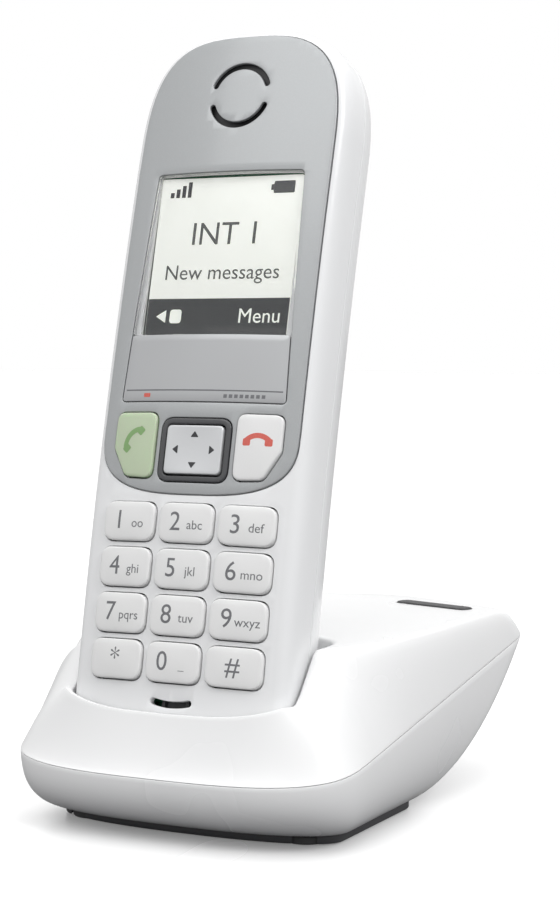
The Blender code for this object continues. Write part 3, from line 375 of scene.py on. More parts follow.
def arc_band(middle, radius, width, start, end, steps=28):
    """Outline of a ring segment with round ends."""
    angles = [math.radians(start + (end - start) * i / steps) for i in range(steps + 1)]
    turns = [math.pi * k / 6 for k in range(1, 6)]
    half = width / 2
    points = [around(middle, radius + half, a) for a in angles]
    tip = around(middle, radius, angles[-1])
    points += [around(tip, half, angles[-1] + turn) for turn in turns]
    points += [around(middle, radius - half, a) for a in reversed(angles)]
    tip = around(middle, radius, angles[0])
    return points + [around(tip, half, angles[0] + turn + math.pi) for turn in turns]


def step_between(value, start, end):
    t = min(1.0, max(0.0, (value - start) / (end - start)))
    return t * t * (3 - 2 * t)


def face_depth(u, v):
    return LONG_BOW * (v - BOW_CENTRE) ** 2 / 2 + CROSS_BOW * u**2 / 2


def back_depth(v):
    return LONG_BOW * (v - BOW_CENTRE) ** 2 / 2


def bowed(obj):
    """Bends a flat piece to the handset's face."""
    for vertex in obj.data.vertices:
        vertex.co.y += face_depth(vertex.co.x, vertex.co.z)
    return obj


def stood(obj):
    """Moves a piece from the flat drawing to the handset in its cradle."""
    obj.data.transform(HANDSET)
    obj.data.update()
    return obj


def case_outline(inset):
    return capped_outline(
        CASE_HALF - inset,
        CASE_LOW + inset,
        CASE_HIGH - inset,
        (max(BOTTOM_CAP - inset, 2 * MM), TOP_CAP - inset),
        (BOTTOM_POWER, TOP_POWER),
    )


def faceplate_outline():
    return capped_outline(
        CASE_HALF - PLATE_SIDE_INSET,
        PLATE_LOW,
        CASE_HIGH - PLATE_TOP_INSET,
        (PLATE_CORNER, TOP_CAP - PLATE_TOP_INSET),
        (2.9, TOP_POWER),
    )


def window_half(v):
    share = (v - WINDOW_LOW) / (WINDOW_HIGH - WINDOW_LOW)
    return WINDOW_HALF_LOW + (WINDOW_HALF_HIGH - WINDOW_HALF_LOW) * share


def window_corners(low, high, inset=0.0):
    return [
        (-window_half(low) + inset, low + inset),
        (window_half(low) - inset, low + inset),
        (window_half(high) - inset, high - inset),
        (-window_half(high) + inset, high - inset),
    ]


def key_outline(middle, grow=0.0):
    return rounded(rectangle(middle, (KEY_SIZE[0] + 2 * grow, KEY_SIZE[1] + 2 * grow)), 2.4 * MM)


def nav_outline(grow):
    size = (NAV_SIZE[0] + 2 * grow, NAV_SIZE[1] + 2 * grow)
    return rounded(rectangle(NAV_PLACE, size), max(2.4 * MM + grow, 1.0 * MM))


def side_key_outline(side):
    inner, outer, low, high = 8.9 * MM, 18.3 * MM, 58.0 * MM, 70.6 * MM
    corners = [
        (side * inner, low - 0.3 * MM),
        (side * (outer - 3.2 * MM), low),
        (side * outer, low + 5.5 * MM),
        (side * outer, high),
        (side * inner, high),
    ]
    if side < 0:
        corners.reverse()
    return rounded(corners, 1.8 * MM, 5)


KEYS = (
    (("key_star", "*", ""), ("key_0", "0", "_"), ("key_hash", "#", "")),
    (("key_7", "7", "pqrs"), ("key_8", "8", "tuv"), ("key_9", "9", "wxyz")),
    (("key_4", "4", "ghi"), ("key_5", "5", "jkl"), ("key_6", "6", "mno")),
    (("key_1", "1", "oo"), ("key_2", "2", "abc"), ("key_3", "3", "def")),
)


def key_rows():
    """Each keypad key: its name, its middle, its figure and its small letters."""
    for row, keys in enumerate(KEYS):
        for column, (name, figure, letters) in enumerate(keys):
            place = ((column - 1) * KEY_PITCH[0], KEY_LOWEST_ROW + row * KEY_PITCH[1])
            yield name, place, figure, letters


# Nodes for the finishes


SOCKET_NAMES = {"ior": "IOR", "specular": "Specular IOR Level"}


def socket(node, label):
    """An input of a node, by its name in lower case with underscores."""
    return node.inputs[SOCKET_NAMES.get(label, label.replace("_", " ").title())]


def preset(node, **values):
    for label, value in values.items():
        socket(node, label).default_value = value
    return node


def fed(tree, node, **sources):
    """Links each source to an input of the node."""
    for label, source in sources.items():
        tree.links.new(source, socket(node, label))


def placed(tree, kind, **values):
    """A shader node with some of its inputs set."""
    return preset(tree.nodes.new(f"ShaderNode{kind}"), **values)


def textured(tree, kind, **values):
    """A node that reads the object's own coordinates."""
    node = placed(tree, kind, **values)
    tree.links.new(tree.nodes.new("ShaderNodeTexCoord").outputs["Object"], node.inputs["Vector"])
    return node


def stretched_noise(tree, stretch, turn=(0.0, 0.0, 0.0), **values):
    """Noise drawn out along some axes."""
    mapping = textured(tree, "Mapping", scale=stretch, rotation=turn)
    node = placed(tree, "TexNoise", **values)
    tree.links.new(mapping.outputs["Vector"], node.inputs["Vector"])
    return node


def ranged(tree, source, low, high, start=0.0, end=1.0):
    """A mask that runs from low to high while its source runs from start to end."""
    node = placed(tree, "MapRange", from_min=start, from_max=end, to_min=low, to_max=high)
    tree.links.new(source, node.inputs["Value"])
    return node.outputs["Result"]


def combined(tree, operation, first, second):
    node = tree.nodes.new("ShaderNodeMath")
    node.operation = operation
    tree.links.new(first, node.inputs[0])
    tree.links.new(second, node.inputs[1])
    return node.outputs["Value"]


def mixed_colour(tree, mask, first, second):
    """A colour that goes from first to second by a mask. The first may be a socket."""
    mix = tree.nodes.new("ShaderNodeMix")
    mix.data_type = "RGBA"
    tree.links.new(mask, mix.inputs["Factor"])
    if isinstance(first, tuple):
        mix.inputs[6].default_value = (*first, 1.0)
    else:
        tree.links.new(first, mix.inputs[6])
    mix.inputs[7].default_value = (*second, 1.0)
    return mix.outputs[2]


def raised(tree, shader, height, strength, distance):
    """Gives a shader a bump from a height."""
    bump = placed(tree, "Bump", strength=strength, distance=distance)
    tree.links.new(height, bump.inputs["Height"])
    tree.links.new(bump.outputs["Normal"], shader.inputs["Normal"])


def blank(name, **values):
    """A new material with some of its shader's sockets set, its node tree and its shader."""
    made = bpy.data.materials.new(name)
    made.use_nodes = True
    return made, made.node_tree, preset(made.node_tree.nodes["Principled BSDF"], **values)


# Effects that several finishes share


def new_group(name, inputs, outputs):
    group = bpy.data.node_groups.new(name, "ShaderNodeTree")
    for label, value in inputs:
        socket = group.interface.new_socket(label, in_out="INPUT", socket_type="NodeSocketFloat")
        socket.default_value = value
    for label, kind in outputs:
        group.interface.new_socket(label, in_out="OUTPUT", socket_type=kind)
    return group, group.nodes.new("NodeGroupInput"), group.nodes.new("NodeGroupOutput")


def moulded_skin_group():
    """Fine grain left by the mould, and the slight unevenness of a moulded wall."""
    inputs = (("Grain Scale", 2500.0), ("Grain Depth", 0.02), ("Sink Depth", 0.05))
    outputs = (("Normal", "NodeSocketVector"), ("Mottle", "NodeSocketFloat"))
    group, given, result = new_group("moulded_skin", inputs, outputs)
    grain = textured(group, "TexNoise", detail=3.0)
    sink = textured(group, "TexNoise", scale=55.0, detail=1.0)
    fine = placed(group, "Bump", distance=0.00002)
    broad = placed(group, "Bump", distance=0.0001)
    for source, label, target, socket in (
        (given, "Grain Scale", grain, "Scale"),
        (sink, "Fac", broad, "Height"),
        (given, "Sink Depth", broad, "Strength"),
        (broad, "Normal", fine, "Normal"),
        (grain, "Fac", fine, "Height"),
        (given, "Grain Depth", fine, "Strength"),
        (fine, "Normal", result, "Normal"),
        (sink, "Fac", result, "Mottle"),
    ):
        group.links.new(source.outputs[label], target.inputs[socket])
    return group


def handling_group():
    """Faint smears from hands and cloths, as a mask."""
    inputs = (("Smear Scale", 60.0), ("Amount", 0.3))
    group, given, result = new_group("handling", inputs, (("Mask", "NodeSocketFloat"),))
    smear = stretched_noise(group, (1.0, 1.0, 0.35), (0.3, 0.2, 0.6), detail=3.0)
    group.links.new(given.outputs["Smear Scale"], smear.inputs["Scale"])
    spread = ranged(group, smear.outputs["Fac"], 0.0, 1.0, 0.3, 0.9)
    mask = combined(group, "MULTIPLY", spread, given.outputs["Amount"])
    group.links.new(mask, result.inputs["Mask"])
    return group


def lint_group():
    """A trace of dust on what faces up, as a mask."""
    inputs = (("Speck Scale", 1400.0), ("Amount", 0.2))
    group, given, result = new_group("lint", inputs, (("Mask", "NodeSocketFloat"),))
    facing = group.nodes.new("ShaderNodeSeparateXYZ")
    shape = group.nodes.new("ShaderNodeNewGeometry")
    group.links.new(shape.outputs["Normal"], facing.inputs["Vector"])
    upward = ranged(group, facing.outputs["Z"], 0.0, 1.0, 0.55, 1.0)
    specks = textured(group, "TexNoise", detail=4.0)
    group.links.new(given.outputs["Speck Scale"], specks.inputs["Scale"])
    spread = ranged(group, specks.outputs["Fac"], 0.0, 1.0, 0.56, 0.7)
    shown = combined(group, "MULTIPLY", upward, spread)
    mask = combined(group, "MULTIPLY", shown, given.outputs["Amount"])
    group.links.new(mask, result.inputs["Mask"])
    return group


MOULDED_SKIN = moulded_skin_group()
HANDLING = handling_group()
LINT = lint_group()


def effect(tree, group, **values):
    """A shared effect, with its own sizes for this finish."""
    node = placed(tree, "Group")
    node.node_tree = group
    return preset(node, **values)


def smears(tree, scale, amount):
    return effect(tree, HANDLING, smear_scale=scale, amount=amount).outputs["Mask"]


def moulding(
    name,
    colour,
    shade,
    roughness,
    grain=(2500.0, 0.02),
    sink=0.05,
    smear=(60.0, 0.3),
    dust=0.2,
    metallic=0.0,
    coat=0.0,
    specular=0.5,
):
    """A moulded plastic: its colour drifts towards a shade, with grain, smears and a little dust."""
    made, tree, shader = blank(
        name, metallic=metallic, coat_weight=coat, coat_roughness=0.08, specular=specular
    )
    surface = effect(tree, MOULDED_SKIN, grain_scale=grain[0], grain_depth=grain[1], sink_depth=sink)
    mottle = surface.outputs["Mottle"]
    hands = smears(tree, *smear)
    lint = effect(tree, LINT, speck_scale=1400.0, amount=dust).outputs["Mask"]
    body = mixed_colour(tree, mottle, colour, shade)
    handled = mixed_colour(tree, ranged(tree, hands, 0.0, 0.35), body, shade)
    dusty = mixed_colour(tree, lint, handled, (0.6, 0.58, 0.55))
    rough = ranged(tree, mottle, roughness - 0.03, roughness + 0.03)
    smeared = combined(tree, "ADD", rough, ranged(tree, hands, 0.0, 0.18))
    fed(tree, shader, base_color=dusty, roughness=smeared, normal=surface.outputs["Normal"])
    return made


def pearl_finish():
    """Silver lacquer with fine flakes under a clear coat."""
    made, tree, shader = blank(
        "silver_pearl_lacquer", metallic=0.35, coat_weight=0.5, coat_roughness=0.1
    )
    flakes = textured(tree, "TexVoronoi", scale=9000.0).outputs["Distance"]
    cloud = textured(tree, "TexNoise", scale=30.0).outputs["Fac"]
    body = mixed_colour(tree, ranged(tree, flakes, 0.2, 0.8), (0.34, 0.353, 0.36), (0.47, 0.483, 0.49))
    drift = mixed_colour(tree, ranged(tree, cloud, 0.0, 0.3), body, (0.42, 0.432, 0.44))
    handled = ranged(tree, smears(tree, 75.0, 0.25), 0.0, 0.15)
    rough = combined(tree, "ADD", ranged(tree, flakes, 0.3, 0.42), handled)
    fed(tree, shader, base_color=drift, roughness=rough)
    raised(tree, shader, flakes, 0.12, 0.00002)
    return made


def green_cap_finish():
    """Tinted translucent plastic, uneven in its tint."""
    made, tree, shader = blank(
        "green_translucent_cap",
        subsurface_weight=0.3,
        subsurface_radius=(0.001, 0.002, 0.001),
        subsurface_scale=1.0,
        coat_weight=0.3,
    )
    surface = effect(tree, MOULDED_SKIN, grain_scale=1800.0, grain_depth=0.02, sink_depth=0.08)
    body = mixed_colour(tree, surface.outputs["Mottle"], (0.49, 0.59, 0.4), (0.57, 0.66, 0.48))
    rough = ranged(tree, smears(tree, 150.0, 0.3), 0.2, 0.4)
    fed(tree, shader, base_color=body, roughness=rough, normal=surface.outputs["Normal"])
    return made


def clear_window_finish():
    """Clear acrylic with faint smears."""
    made, tree, shader = blank("clear_acrylic", transmission_weight=1.0, ior=1.2)
    rough = ranged(tree, smears(tree, 90.0, 0.3), 0.02, 0.12)
    cloud = textured(tree, "TexNoise", scale=700.0).outputs["Fac"]
    tint = mixed_colour(tree, cloud, (0.97, 0.98, 0.98), (1.0, 1.0, 1.0))
    fed(tree, shader, base_color=tint, roughness=rough)
    return made


def lit_finish(name, colour, edge, strength, scale):
    """A surface with light behind it, a little uneven."""
    made, tree, shader = blank(name, emission_strength=strength)
    cells = textured(tree, "TexNoise", scale=scale).outputs["Fac"]
    body = mixed_colour(tree, cells, colour, edge)
    fed(tree, shader, base_color=body, emission_color=body, roughness=ranged(tree, cells, 0.25, 0.4))
    return made


def print_finish(name, colour, worn, roughness=0.45):
    """Screen-printed ink, slightly uneven in cover."""
    made, tree, shader = blank(name)
    cover = textured(tree, "TexNoise", scale=3500.0, detail=3.0).outputs["Fac"]
    rough = ranged(tree, cover, roughness - 0.06, roughness + 0.1)
    fed(tree, shader, base_color=mixed_colour(tree, cover, colour, worn), roughness=rough)
    return made


def plated_finish():
    """Nickel plate with a fine drawn grain and dull spots."""
    made, tree, shader = blank("nickel_plate", metallic=1.0)
    grain = stretched_noise(tree, (1.0, 1.0, 14.0), scale=900.0, detail=4.0).outputs["Fac"]
    hands = smears(tree, 300.0, 0.6)
    body = mixed_colour(tree, grain, (0.66, 0.65, 0.62), (0.8, 0.79, 0.76))
    dulled = mixed_colour(tree, hands, body, (0.5, 0.48, 0.44))
    rough = combined(tree, "ADD", ranged(tree, grain, 0.2, 0.36), ranged(tree, hands, 0.0, 0.2))
    fed(tree, shader, base_color=dulled, roughness=rough)
    raised(tree, shader, grain, 0.1, 0.00002)
    return made


def board_finish():
    """Green solder mask over copper tracks, with tinned pads."""
    made, tree, shader = blank("solder_mask")
    tracks = textured(
        tree,
        "TexBrick",
        scale=260.0,
        mortar_size=0.06,
        color1=(0.015, 0.12, 0.05, 1),
        color2=(0.02, 0.15, 0.065, 1),
        mortar=(0.05, 0.27, 0.13, 1),
    )
    pads = textured(tree, "TexVoronoi", scale=330.0).outputs["Distance"]
    shown = ranged(tree, pads, 0.0, 1.0, 0.16, 0.13)
    body = mixed_colour(tree, shown, tracks.outputs["Color"], (0.7, 0.68, 0.62))
    edges = tracks.outputs["Fac"]
    fed(tree, shader, base_color=body, metallic=shown, roughness=ranged(tree, edges, 0.3, 0.42))
    raised(tree, shader, edges, 0.25, 0.00004)
    return made


def cell_finish():
    """A printed sleeve: a dark band at the low end and a pale one along the rest."""
    made, tree, shader = blank("cell_sleeve")
    height = textured(tree, "SeparateXYZ").outputs["Z"]
    band = ranged(tree, height, 0.0, 1.0, 0.0655, 0.0662)
    hands = smears(tree, 200.0, 0.4)
    body = mixed_colour(tree, band, (0.05, 0.16, 0.38), (0.72, 0.74, 0.76))
    scuffed = mixed_colour(tree, ranged(tree, hands, 0.0, 0.3), body, (0.5, 0.5, 0.5))
    fed(tree, shader, base_color=scuffed, roughness=ranged(tree, hands, 0.25, 0.45))
    return made


CASE_WHITE = moulding(
    "gloss_white_case", (0.86, 0.865, 0.87), (0.83, 0.835, 0.845), 0.2,
    sink=0.03, smear=(60.0, 0.12), dust=0.05,
)
BASE_WHITE = moulding(
    "satin_white_base", (0.87, 0.87, 0.872), (0.84, 0.845, 0.85), 0.26,
    sink=0.02, smear=(50.0, 0.07), dust=0.04,
)
KEY_WHITE = moulding(
    "white_key_cap", (0.83, 0.83, 0.825), (0.8, 0.8, 0.8), 0.34,
    grain=(1600.0, 0.04), sink=0.04, smear=(140.0, 0.3), dust=0.05,
)
RING_DARK = moulding(
    "dark_gloss_ring", (0.05, 0.052, 0.056), (0.075, 0.075, 0.08), 0.22, grain=(2200.0, 0.02), coat=0.3
)
PLASTIC_BLACK = moulding(
    "grained_black_plastic", (0.03, 0.03, 0.033), (0.05, 0.05, 0.052), 0.5, grain=(1500.0, 0.25)
)
SOLE_GREY = moulding(
    "textured_grey_sole", (0.055, 0.056, 0.06), (0.08, 0.08, 0.085), 0.55, grain=(1300.0, 0.35), dust=0.1
)
RUBBER_DARK = moulding(
    "matt_rubber", (0.07, 0.07, 0.072), (0.1, 0.1, 0.1), 0.85,
    grain=(1000.0, 0.3), sink=0.1, dust=0.5, specular=0.3,
)
PAD_SILVER = moulding(
    "silver_pad_lacquer", (0.62, 0.63, 0.645), (0.7, 0.71, 0.72), 0.3,
    grain=(4000.0, 0.05), sink=0.04, metallic=0.4, coat=0.3,
)
PANEL_SILVER = moulding(
    "silver_print_panel", (0.45, 0.455, 0.465), (0.49, 0.5, 0.51), 0.3,
    grain=(4500.0, 0.04), sink=0.03, metallic=0.3, coat=0.4,
)
PEARL = pearl_finish()
GREEN_CAP = green_cap_finish()
CLEAR = clear_window_finish()
LCD_LIT = lit_finish("lcd_ground", (0.74, 0.75, 0.7), (0.79, 0.8, 0.76), 0.45, 400.0)
LCD_PALE = lit_finish("lcd_pale_segment", (0.72, 0.74, 0.68), (0.78, 0.8, 0.74), 0.45, 400.0)
GUIDE = lit_finish("milky_light_guide", (0.85, 0.85, 0.82), (0.9, 0.9, 0.87), 0.1, 200.0)
INK_GREY = print_finish("grey_ink", (0.13, 0.135, 0.145), (0.2, 0.2, 0.21))
INK_DARK = print_finish("dark_ink", (0.02, 0.022, 0.025), (0.05, 0.05, 0.055))
INK_RED = print_finish("red_ink", (0.62, 0.09, 0.07), (0.7, 0.16, 0.12))
INK_GREEN = print_finish("green_ink", (0.2, 0.36, 0.13), (0.25, 0.42, 0.18))
LCD_DARK = print_finish("lcd_dark_segment", (0.04, 0.042, 0.045), (0.06, 0.062, 0.065), 0.3)
LCD_GREY = print_finish("lcd_grey_segment", (0.09, 0.095, 0.09), (0.13, 0.135, 0.13), 0.3)
PLATED = plated_finish()
BOARD = board_finish()
CELL = cell_finish()


# Finishing a piece


def dressed(obj, finish, slot_name, body, *stands_for):
    """Gives a piece its finish and its body, and hides the nodes that it stands for. The slot name is
    not used.
    """
    obj.data.materials.clear()
    obj.data.materials.append(finish)
    if stands_for:
        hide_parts(*stands_for)
    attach(obj, body)
    return obj


def tree_of(obj):
    mesh = bmesh.new()
    mesh.from_mesh(obj.data)
    tree = BVHTree.FromBMesh(mesh)
    mesh.free()
    return tree


def laid_on(obj, tree, lift=0.008 * MM):
    """Drops a flat print onto a surface. A second ray, a hair aside, covers a missed edge."""
    aside = Vector((0.003 * MM, 0, 0.002 * MM))
    for vertex in obj.data.vertices:
        start = Vector((vertex.co.x, -20 * MM, vertex.co.z))
        hits = [tree.ray_cast(origin, Vector((0, 1, 0)))[0] for origin in (start, start + aside)]
        vertex.co.y += min((hit.y for hit in hits if hit is not None), default=0.0) - lift
    return obj


PRINT = 0.012 * MM


def lettering(name, words, size, middle, depth=0.0):
    """Words as a thin print that faces forwards, centred on a place."""
    bpy.ops.object.select_all(action="DESELECT")
    bpy.ops.object.text_add(location=(middle[0], depth, middle[1]), rotation=(math.pi / 2, 0, 0))
    made = bpy.context.view_layer.objects.active
    made.name = name
    made.data.body = words
    made.data.size = size
    made.data.align_x = "CENTER"
    made.data.align_y = "CENTER"
    made.data.extrude = PRINT / 2
    made.data.resolution_u = 4
    pick(made)
    bpy.ops.object.convert(target="MESH")
    return settle(bpy.context.view_layer.objects.active)


def mark(name, outline, depth=0.0):
    """A flat outline as a thin print."""
    return slab(name, outline, depth - PRINT / 2, depth + PRINT / 2)


def receiver_mark(name, middle, size, turn, depth=0.0):
    """A telephone receiver: a bent bar with a pad at each end."""
    bar = mark(name, arc_band((0, -size * 0.62), size, size * 0.3, 48, 132), depth)
    for k, angle in enumerate((48, 132)):
        a = math.radians(angle)
        place = (size * math.cos(a), -size * 0.62 + size * math.sin(a) - size * 0.13)
        corners = rectangle(place, (size * 0.46, size * 0.42))
        pad = mark(f"{name}_pad_{k}", rounded(corners, size * 0.1), depth)
        cut(bar, pad, "UNION")
    bar.data.transform(Matrix.Rotation(turn, 4, "Y"))
    bar.data.transform(Matrix.Translation((middle[0], 0, middle[1])))
    return bar


def placed_on_handset(obj, finish, slot_name, body, *stands_for, angle=32):
    """Finishes a piece that was drawn flat, once it is bowed."""
    return dressed(smooth(stood(obj), angle), finish, slot_name, body, *stands_for)


def printed(obj, surface, ink, body, pitch=0.7 * MM):
    """Finishes a print that lies on a surface of the flat drawing."""
    placed_on_handset(laid_on(ruled(obj, pitch), surface), ink, None, body)


# Handset shells


def outline_at(outline, depth):
    return [(u, depth, v) for u, v in outline]


def make_front_shell():
    rings = [outline_at(case_outline(inset * MM), drop * MM) for inset, drop in FACE_EDGE]
    rings.append(outline_at(case_outline(0.0), PARTING - 0.15 * MM))
    rings.append(outline_at(case_outline(0.15 * MM), PARTING))
    inner = ((0.0, 8.3), (0.1, 5.3), (0.6, 2.9), (1.4, 2.1), (3.4, 1.8))
    for inset, drop in inner:
        rings.append(outline_at(case_outline(inset * MM + CASE_WALL), drop * MM))
    shell = skin("front_case", rings)
    cut(shell, slab("recess", grown(faceplate_outline(), 0.2 * MM), -3 * MM, 0.95 * MM))
    slot = arc_band((0, MIC_HEIGHT + MIC_RADIUS), MIC_RADIUS, MIC_SLOT, 256, 284, 12)
    cut(shell, slab("mic", slot, -6 * MM, 7 * MM))
    cut(shell, slab("ear", circle(EAR_PLACE, EAR_RADIUS + 1.8 * MM), -1 * MM, 8 * MM))
    holes = [key_outline(place, KEY_CLEARANCE) for _, place, _, _ in key_rows()]
    holes += [grown(side_key_outline(side), SIDE_KEY_CLEARANCE) for side in (-1, 1)]
    holes.append(nav_outline(NAV_CLEARANCE))
    holes.append(rectangle(LCD_MIDDLE, (LCD_SIZE[0] + 2 * GAP, LCD_SIZE[1] + 2 * GAP)))
    cut(shell, joined("holes", [slab("hole", outline, -6 * MM, 7 * MM) for outline in holes]))
    soften(shell, 0.14 * MM, 2, 55)
    bowed(ruled(shell, 2.6 * MM))
    half = CHARGE_PAD_HALF
    for middle in (-CHARGE_PAD_OFFSET, CHARGE_PAD_OFFSET):
        low = (middle - half, CHARGE_PAD_HEIGHT - half, -3 * MM)
        cut(shell, block("well", low, (middle + half, CHARGE_PAD_HEIGHT + half, 8 * MM)))
    placed_on_handset(shell, CASE_WHITE, "white_gloss", "handset", "handset_front_shell")


def back_rings(wall):
    """Rings from the parting line to the back. Where they stand for an inner wall, they start deeper."""
    rings = [
        [(u, PARTING + rise + CROSS_BOW * u**2 / 2, v) for u, v in case_outline(wall + inset)]
        for rise, inset in ((GAP / 2, 0.12 * MM), (GAP, 0.0))
    ]
    for inset, rise in BACK_EDGE + ((18.0, 16.93), (20.5, 17.0)):
        depth = (10 + rise) * MM - wall
        if depth > 11 * MM:
            rings.append(outline_at(case_outline(inset * MM + wall), depth))
    return rings


def back_bowed(obj):
    for vertex in obj.data.vertices:
        vertex.co.y += back_depth(vertex.co.z)
    return obj


def cover_outline(grow):
    size = (COVER_SIZE[0] + 2 * grow, COVER_SIZE[1] + 2 * grow)
    return rounded(rectangle(COVER_MIDDLE, size), COVER_CORNER + grow, 8)


def make_rear_shell():
    shell = skin("rear_case", back_rings(0.0), True)
    inner = back_rings(CASE_WALL)
    mouth = [(u, depth - 4 * MM, v) for u, depth, v in inner[0]]
    hollow = skin("hollow", [mouth] + inner, True)
    cut(hollow, slab("bay_frame", cover_outline(1.4 * MM), 10.2 * MM, 40 * MM))
    cut(shell, hollow)
    seat = slab("seat", cover_outline(0.16 * MM), *COVER_DEPTHS)
    cut(seat, skin("under_seat", back_rings(COVER_THICKNESS + 0.15 * MM), True))
    cut(shell, seat)
    cut(shell, block("bay", BAY_LOW, BAY_HIGH))
    for side in (-1, 1):
        place = (side * CASE_SCREW_PLACE[0], CASE_SCREW_PLACE[1])
        cut(shell, slab("bore", circle(place, 1.25 * MM, 24), 5 * MM, 30 * MM))
        cut(shell, slab("seat", circle(place, 2.25 * MM, 32), 16.3 * MM, 30 * MM))
    soften(shell, 0.12 * MM, 1, 60)
    back_bowed(ruled(shell, 4 * MM, (2,)))
    placed_on_handset(shell, CASE_WHITE, "white_gloss", "handset", "handset_rear_shell")

    cover = slab("battery_door", cover_outline(0.0), *COVER_DEPTHS)
    cut(cover, skin("outside", back_rings(0.0), True), "INTERSECT")
    cut(cover, skin("inside", back_rings(COVER_THICKNESS), True))
    for k in range(5):
        place = (0, (GRIP_LOW + GRIP_PITCH * k) * MM)
        groove = rounded(rectangle(place, (12 * MM, 0.7 * MM)), 0.34 * MM, 4)
        cut(cover, slab("groove", groove, 26.75 * MM, 40 * MM))
    soften(cover, 0.12 * MM, 2, 60)
    back_bowed(ruled(cover, 4 * MM, (2,)))
    placed_on_handset(cover, CASE_WHITE, "white_gloss", "battery_cover", "battery_cover")


# Faceplate and display


def make_faceplate():
    plate = slab("faceplate_silver", faceplate_outline(), -PLATE_PROUD, PLATE_BACK)
    holes = [rounded(window_corners(WINDOW_LOW, WINDOW_HIGH, -0.22 * MM), 1.1 * MM)]
    holes.append(nav_outline(NAV_CLEARANCE))
    holes += [grown(side_key_outline(side), SIDE_KEY_CLEARANCE) for side in (-1, 1)]
    holes += [arc_band(EAR_PLACE, EAR_RADIUS, 1.25 * MM, start, start + 136) for start in (22, 202)]
    cut(plate, joined("holes", [slab("hole", outline, -6 * MM, 8 * MM) for outline in holes]))
    soften(plate, 0.16 * MM, 3, 55)
    bowed(ruled(plate, 1.8 * MM))
    placed_on_handset(plate, PEARL, "silver_pearl", "handset", "faceplate")


def make_window():
    upper = rounded(window_corners(WINDOW_SPLIT, WINDOW_HIGH), 0.6 * MM)
    clear = slab("window_clear_part", upper, -WINDOW_PROUD, PLATE_BACK)
    soften(clear, 0.12 * MM, 2, 55)
    bowed(ruled(clear, 2 * MM))
    placed_on_handset(clear, CLEAR, "window_clear", "handset", "display_window")

    lower = rounded(window_corners(WINDOW_LOW, WINDOW_SPLIT - 0.06 * MM), 0.6 * MM)
    band = slab("window_silver_part", lower, -WINDOW_PROUD, PLATE_BACK)
    soften(band, 0.1 * MM, 2, 55)
    bowed(ruled(band, 2 * MM))
    front = tree_of(band)
    prints = [(mark("window_hairline", rectangle((0, 75.2 * MM), (34.6 * MM, 0.28 * MM))), INK_GREY)]
    red = rounded(rectangle((-12.2 * MM, 74.2 * MM), (1.5 * MM, 0.8 * MM)), 0.2 * MM)
    prints.append((mark("window_red_mark", red), INK_RED))
    for k in range(8):
        place = ((5.4 + 1.15 * k) * MM, 74.1 * MM)
        prints.append((mark(f"window_dash_{k}", rectangle(place, (0.75 * MM, 0.7 * MM))), INK_GREY))
    for obj, ink in prints:
        printed(obj, front, ink, "handset", 1.5 * MM)
    placed_on_handset(band, PANEL_SILVER, "silver_pearl", "handset")


def make_lcd():
    panel = slab("lcd", rectangle(LCD_MIDDLE, LCD_SIZE), LCD_FRONT, LCD_FRONT + 1.2 * MM)
    placed_on_handset(soften(panel, 0.08 * MM), LCD_LIT, "lcd_grey", "handset", "lcd_panel")
    depth = LCD_FRONT - 0.02 * MM
    bars = []
    for k in range(4):
        place = ((-13.2 + 1.3 * k) * MM, (115.6 + 0.35 * k) * MM)
        bar = rectangle(place, (0.85 * MM, (1.1 + 0.7 * k) * MM))
        bars.append(mark(f"lcd_signal_{k}", bar, depth))
    body = rounded(rectangle((11.8 * MM, 116.6 * MM), (4.6 * MM, 2.5 * MM)), 0.3 * MM)
    cell = mark("lcd_battery", body, depth)
    tip = mark("lcd_battery_tip", rectangle((9.2 * MM, 116.6 * MM), (0.6 * MM, 1.2 * MM)), depth)
    bottom = rectangle((0, SOFT_KEY_HEIGHT), (LCD_SIZE[0] - 0.2 * MM, 7.2 * MM))
    strip = mark("lcd_strip", bottom, depth)
    large = lettering("lcd_line_1", "INT 1", 6.6 * MM, (0, 107.2 * MM), depth)
    small = lettering("lcd_line_2", "New messages", 4.3 * MM, (0, 99.4 * MM), depth)
    over = depth - 1.5 * PRINT
    arrow = [(-13.6 * MM, SOFT_KEY_HEIGHT), (-11.4 * MM, 89.3 * MM), (-11.4 * MM, 91.9 * MM)]
    left = mark("lcd_arrow", arrow, over)
    box = rounded(rectangle((-9.2 * MM, SOFT_KEY_HEIGHT), (2.6 * MM, 2.8 * MM)), 0.7 * MM)
    shaft = mark("lcd_speaker", box, over)
    word = lettering("lcd_soft_key", "Menu", 4.2 * MM, (9.4 * MM, 90.5 * MM), over)
    inks = [(obj, LCD_DARK) for obj in (*bars, cell, tip, strip)]
    inks += [(large, LCD_GREY), (small, LCD_GREY)]
    inks += [(obj, LCD_PALE) for obj in (left, shaft, word)]
    for obj, ink in inks:
        dressed(stood(obj), ink, None, "handset")


# Keys


def key_cap(name, outline, proud=0.8 * MM, crown=0.25 * MM, back=3.2 * MM, edge=0.3 * MM):
    """A cap raised from its outline, its rim rounded and its top gently domed."""
    cap = slab(name, outline, -proud, back)
    soften(cap, edge, 3, 50)
    ruled(cap, 0.9 * MM)
    spans = [(min(values), max(values)) for values in zip(*outline)]
    for vertex in cap.data.vertices:
        if vertex.co.y < -proud + edge:
            fall = 1.0
            for axis, (low, high) in zip((0, 2), spans):
                aside = abs(vertex.co[axis] - (low + high) / 2) / ((high - low) / 2)
                fall *= 1 - min(1.0, aside) ** 2
            vertex.co.y -= crown * fall
    return cap


